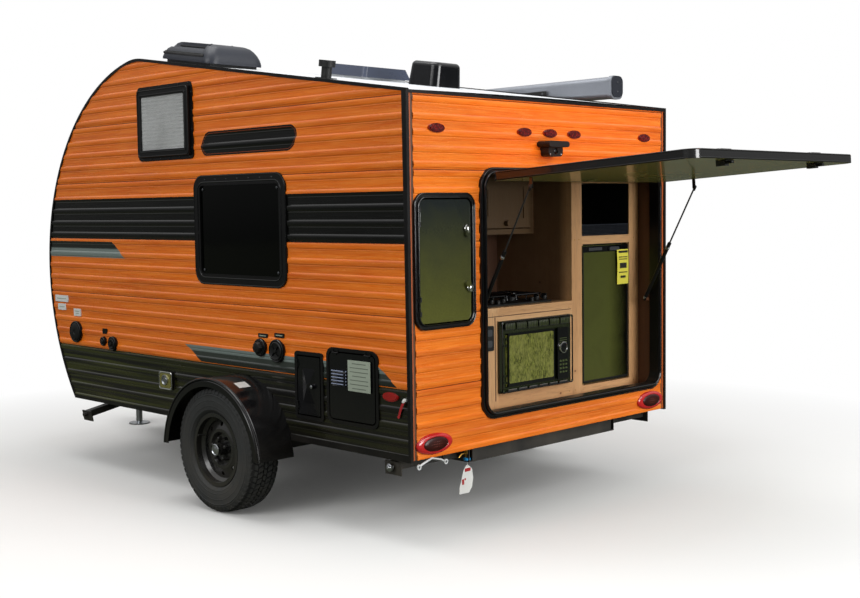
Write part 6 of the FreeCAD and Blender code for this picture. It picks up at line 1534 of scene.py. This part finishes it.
def makeMattress(look):
    low, high = [Vector(corner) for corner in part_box("mattress")]
    inset, shape, piping = Vector((look["inset"],) * 3), Shape(), Shape()
    shape.box(low + inset, high - inset, 22)
    pad = shape.piece("mattressPad", "mattressCloth", "cushion")
    bpy.context.view_layer.objects.active = pad
    remesh = pad.modifiers.new("remesh", "REMESH")
    remesh.mode, remesh.voxel_size = "VOXEL", look["voxel"]
    bpy.context.view_layer.update()
    applyModifiers(pad)
    start = [v.co.copy() for v in pad.data.vertices]
    cloth = pad.modifiers.new("cloth", "CLOTH")
    cloth.settings.use_pressure = True
    cloth.settings.uniform_pressure_force = look["pressure"]
    cloth.settings.effector_weights.gravity = 0.0
    scene = bpy.context.scene
    scene.frame_start, scene.frame_end = 1, look["frames"]
    for number in range(1, look["frames"] + 1):
        scene.frame_set(number)
    applyModifiers(pad)
    scene.frame_set(1)
    for vert, was in zip(pad.data.vertices, start):
        move = vert.co - was
        if move.length > look["cap"]:
            vert.co = was + move.normalized() * look["cap"]
        for axis in range(3):
            vert.co[axis] = min(max(vert.co[axis], low[axis] + 0.001), high[axis] - 0.001)
    subdivision = pad.modifiers.new("smooth", "SUBSURF")
    subdivision.levels = subdivision.render_levels = 1
    pad.data.polygons.foreach_set("use_smooth", [True] * len(pad.data.polygons))
    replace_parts(pad, "mattress")
    middle, size = (low + high) / 2, (high - low) * 1000
    for z in (low.z + 0.022, high.z - 0.022):
        ring = roundedRing(size.x - 14, size.y - 14, 40)
        piping.loop([Vector((middle.x, middle.y, z)) + mm(a, b, 0) for a, b in ring], look["piping"])
    piping.piece("mattressPiping", "inkGrey", "cushion")


makeMattress(mattressLook)
print("soft pieces made")

# Front: bands and valve of the gas cylinder
frontLook = {"bandLow": 0.09, "bandHigh": 0.19, "valveDrop": 0.11,
             "band": ((0, 155.6), (2, 157.2), (10, 157.2), (12, 155.6)),
             "valve": ((0, 16), (30, 16), (32, 11), (50, 11), (52, 30), (66, 30), (68, 24), (68, 0))}


def makeFrontDetails(look):
    collar, valve = Shape(), Shape()
    low, high = [Vector(corner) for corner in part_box("gas_cylinder")]
    x, y, z = (*((low + high) / 2).xy, high.z)
    for band in (low.z + look["bandLow"], z - look["bandHigh"]):
        collar.turned(Vector((x, y, band)), (0, 0, 1), look["band"], 48, False)
    collar.piece("cylinderBands", "greyPaint", "bright_steel")
    valve.turned(Vector((x, y, z - look["valveDrop"])), (0, 0, 1), look["valve"], 20)
    valve.piece("cylinderValve", "brass", "bright_steel")


makeFrontDetails(frontLook)
print("front dressed")

# Stage and light: spot, aim, size and power of each lamp
stageLook = {"floorTone": (236, 236, 234), "bounceTone": (70, 74, 58), "fadeStart": 2.4, "fadeEnd": 4.6, "size": 40,
             "diffuseSky": 0.5, "glossHigh": 1.0, "glossLow": 0.03, "white": (1.0, 1.0, 1.0, 1.0)}
lampLook = {"keyLamp": ((2.0, -8.0, 6.5), (0.2, -1.6, 1.0), (5.0, 4.0), 268),
            "fillLamp": ((-9.0, -1.5, 5.5), (-1.0, 0.0, 1.0), (6.0, 4.0), 310),
            "lowLamp": ((0.6, -9.0, 2.4), (0.3, -1.6, 0.9), (3.5, 2.6), 355),
            "topLamp": ((-1.0, 0.5, 8.0), (0.0, 0.0, 1.0), (5.0, 5.0), 250)}


def makeFloor(look):
    data, size = bpy.data.meshes.new("floorSheet"), look["size"]
    data.from_pydata([(-size, -size, 0), (size, -size, 0), (size, size, 0), (-size, size, 0)], [], [(0, 1, 2, 3)])
    floorSheet = addObject("floorSheet", data)
    floorSheet.location.z = -0.001
    net = newMaterial("floorTone", 0.9)
    wear, path = net.group(wearGroup, 0.6, 60.0), net.add("LightPath").outputs
    pale = net.mix(wear["Patches"], look["floorTone"], shaded(look["floorTone"], 0.98))
    net.feed(net.shader.inputs["Base Color"], net.mix(path["Is Camera Ray"], look["bounceTone"], pale))
    far = net.remap(net.vector("LENGTH", net.spot(), (0.0, 0.0, 0.0), "Value"), look["fadeStart"], look["fadeEnd"])
    glow = net.add("Emission", None, {"Color": look["white"], "Strength": 1.0})
    both = net.add("MixShader", None, {0: net.times(far, path["Is Camera Ray"]), 1: net.shader.outputs[0],
                                       2: glow.outputs[0]})
    net.feed(net.tree.nodes["Material Output"].inputs["Surface"], both.outputs[0])
    data.materials.append(materials["floorTone"])


def makeWorld(look):
    world = bpy.data.worlds.new("studio")
    bpy.context.scene.world = world
    world.use_nodes = True
    net = Net(world.node_tree)
    world.node_tree.nodes.clear()
    path = net.add("LightPath").outputs
    seen = net.math("MAXIMUM", path["Is Camera Ray"], path["Is Transmission Ray"])
    mirrored = net.remap(net.axes("Generated")["Z"], -0.05, 0.75, look["glossLow"], look["glossHigh"])
    level = net.blend(path["Is Glossy Ray"], look["diffuseSky"], mirrored)
    soft = net.add("Background", None, {"Color": look["white"], "Strength": level})
    plain = net.add("Background", None, {"Color": look["white"], "Strength": 1.0})
    both = net.add("MixShader", None, {0: seen, 1: soft.outputs[0], 2: plain.outputs[0]})
    net.add("OutputWorld", None, {"Surface": both.outputs[0]})


def makeLamp(name, spot, aim, size, power):
    data = bpy.data.lights.new(name, "AREA")
    data.shape, data.energy = "RECTANGLE", power
    data.size, data.size_y = size
    lamp = addObject(name, data)
    lamp.location = spot
    lamp.rotation_euler = (Vector(aim) - Vector(spot)).to_track_quat("-Z", "Y").to_euler()


makeFloor(stageLook)
makeWorld(stageLook)
for name, settings in lampLook.items():
    makeLamp(name, *settings)
bpy.context.scene.view_settings.view_transform = "Standard"
print("stage set")
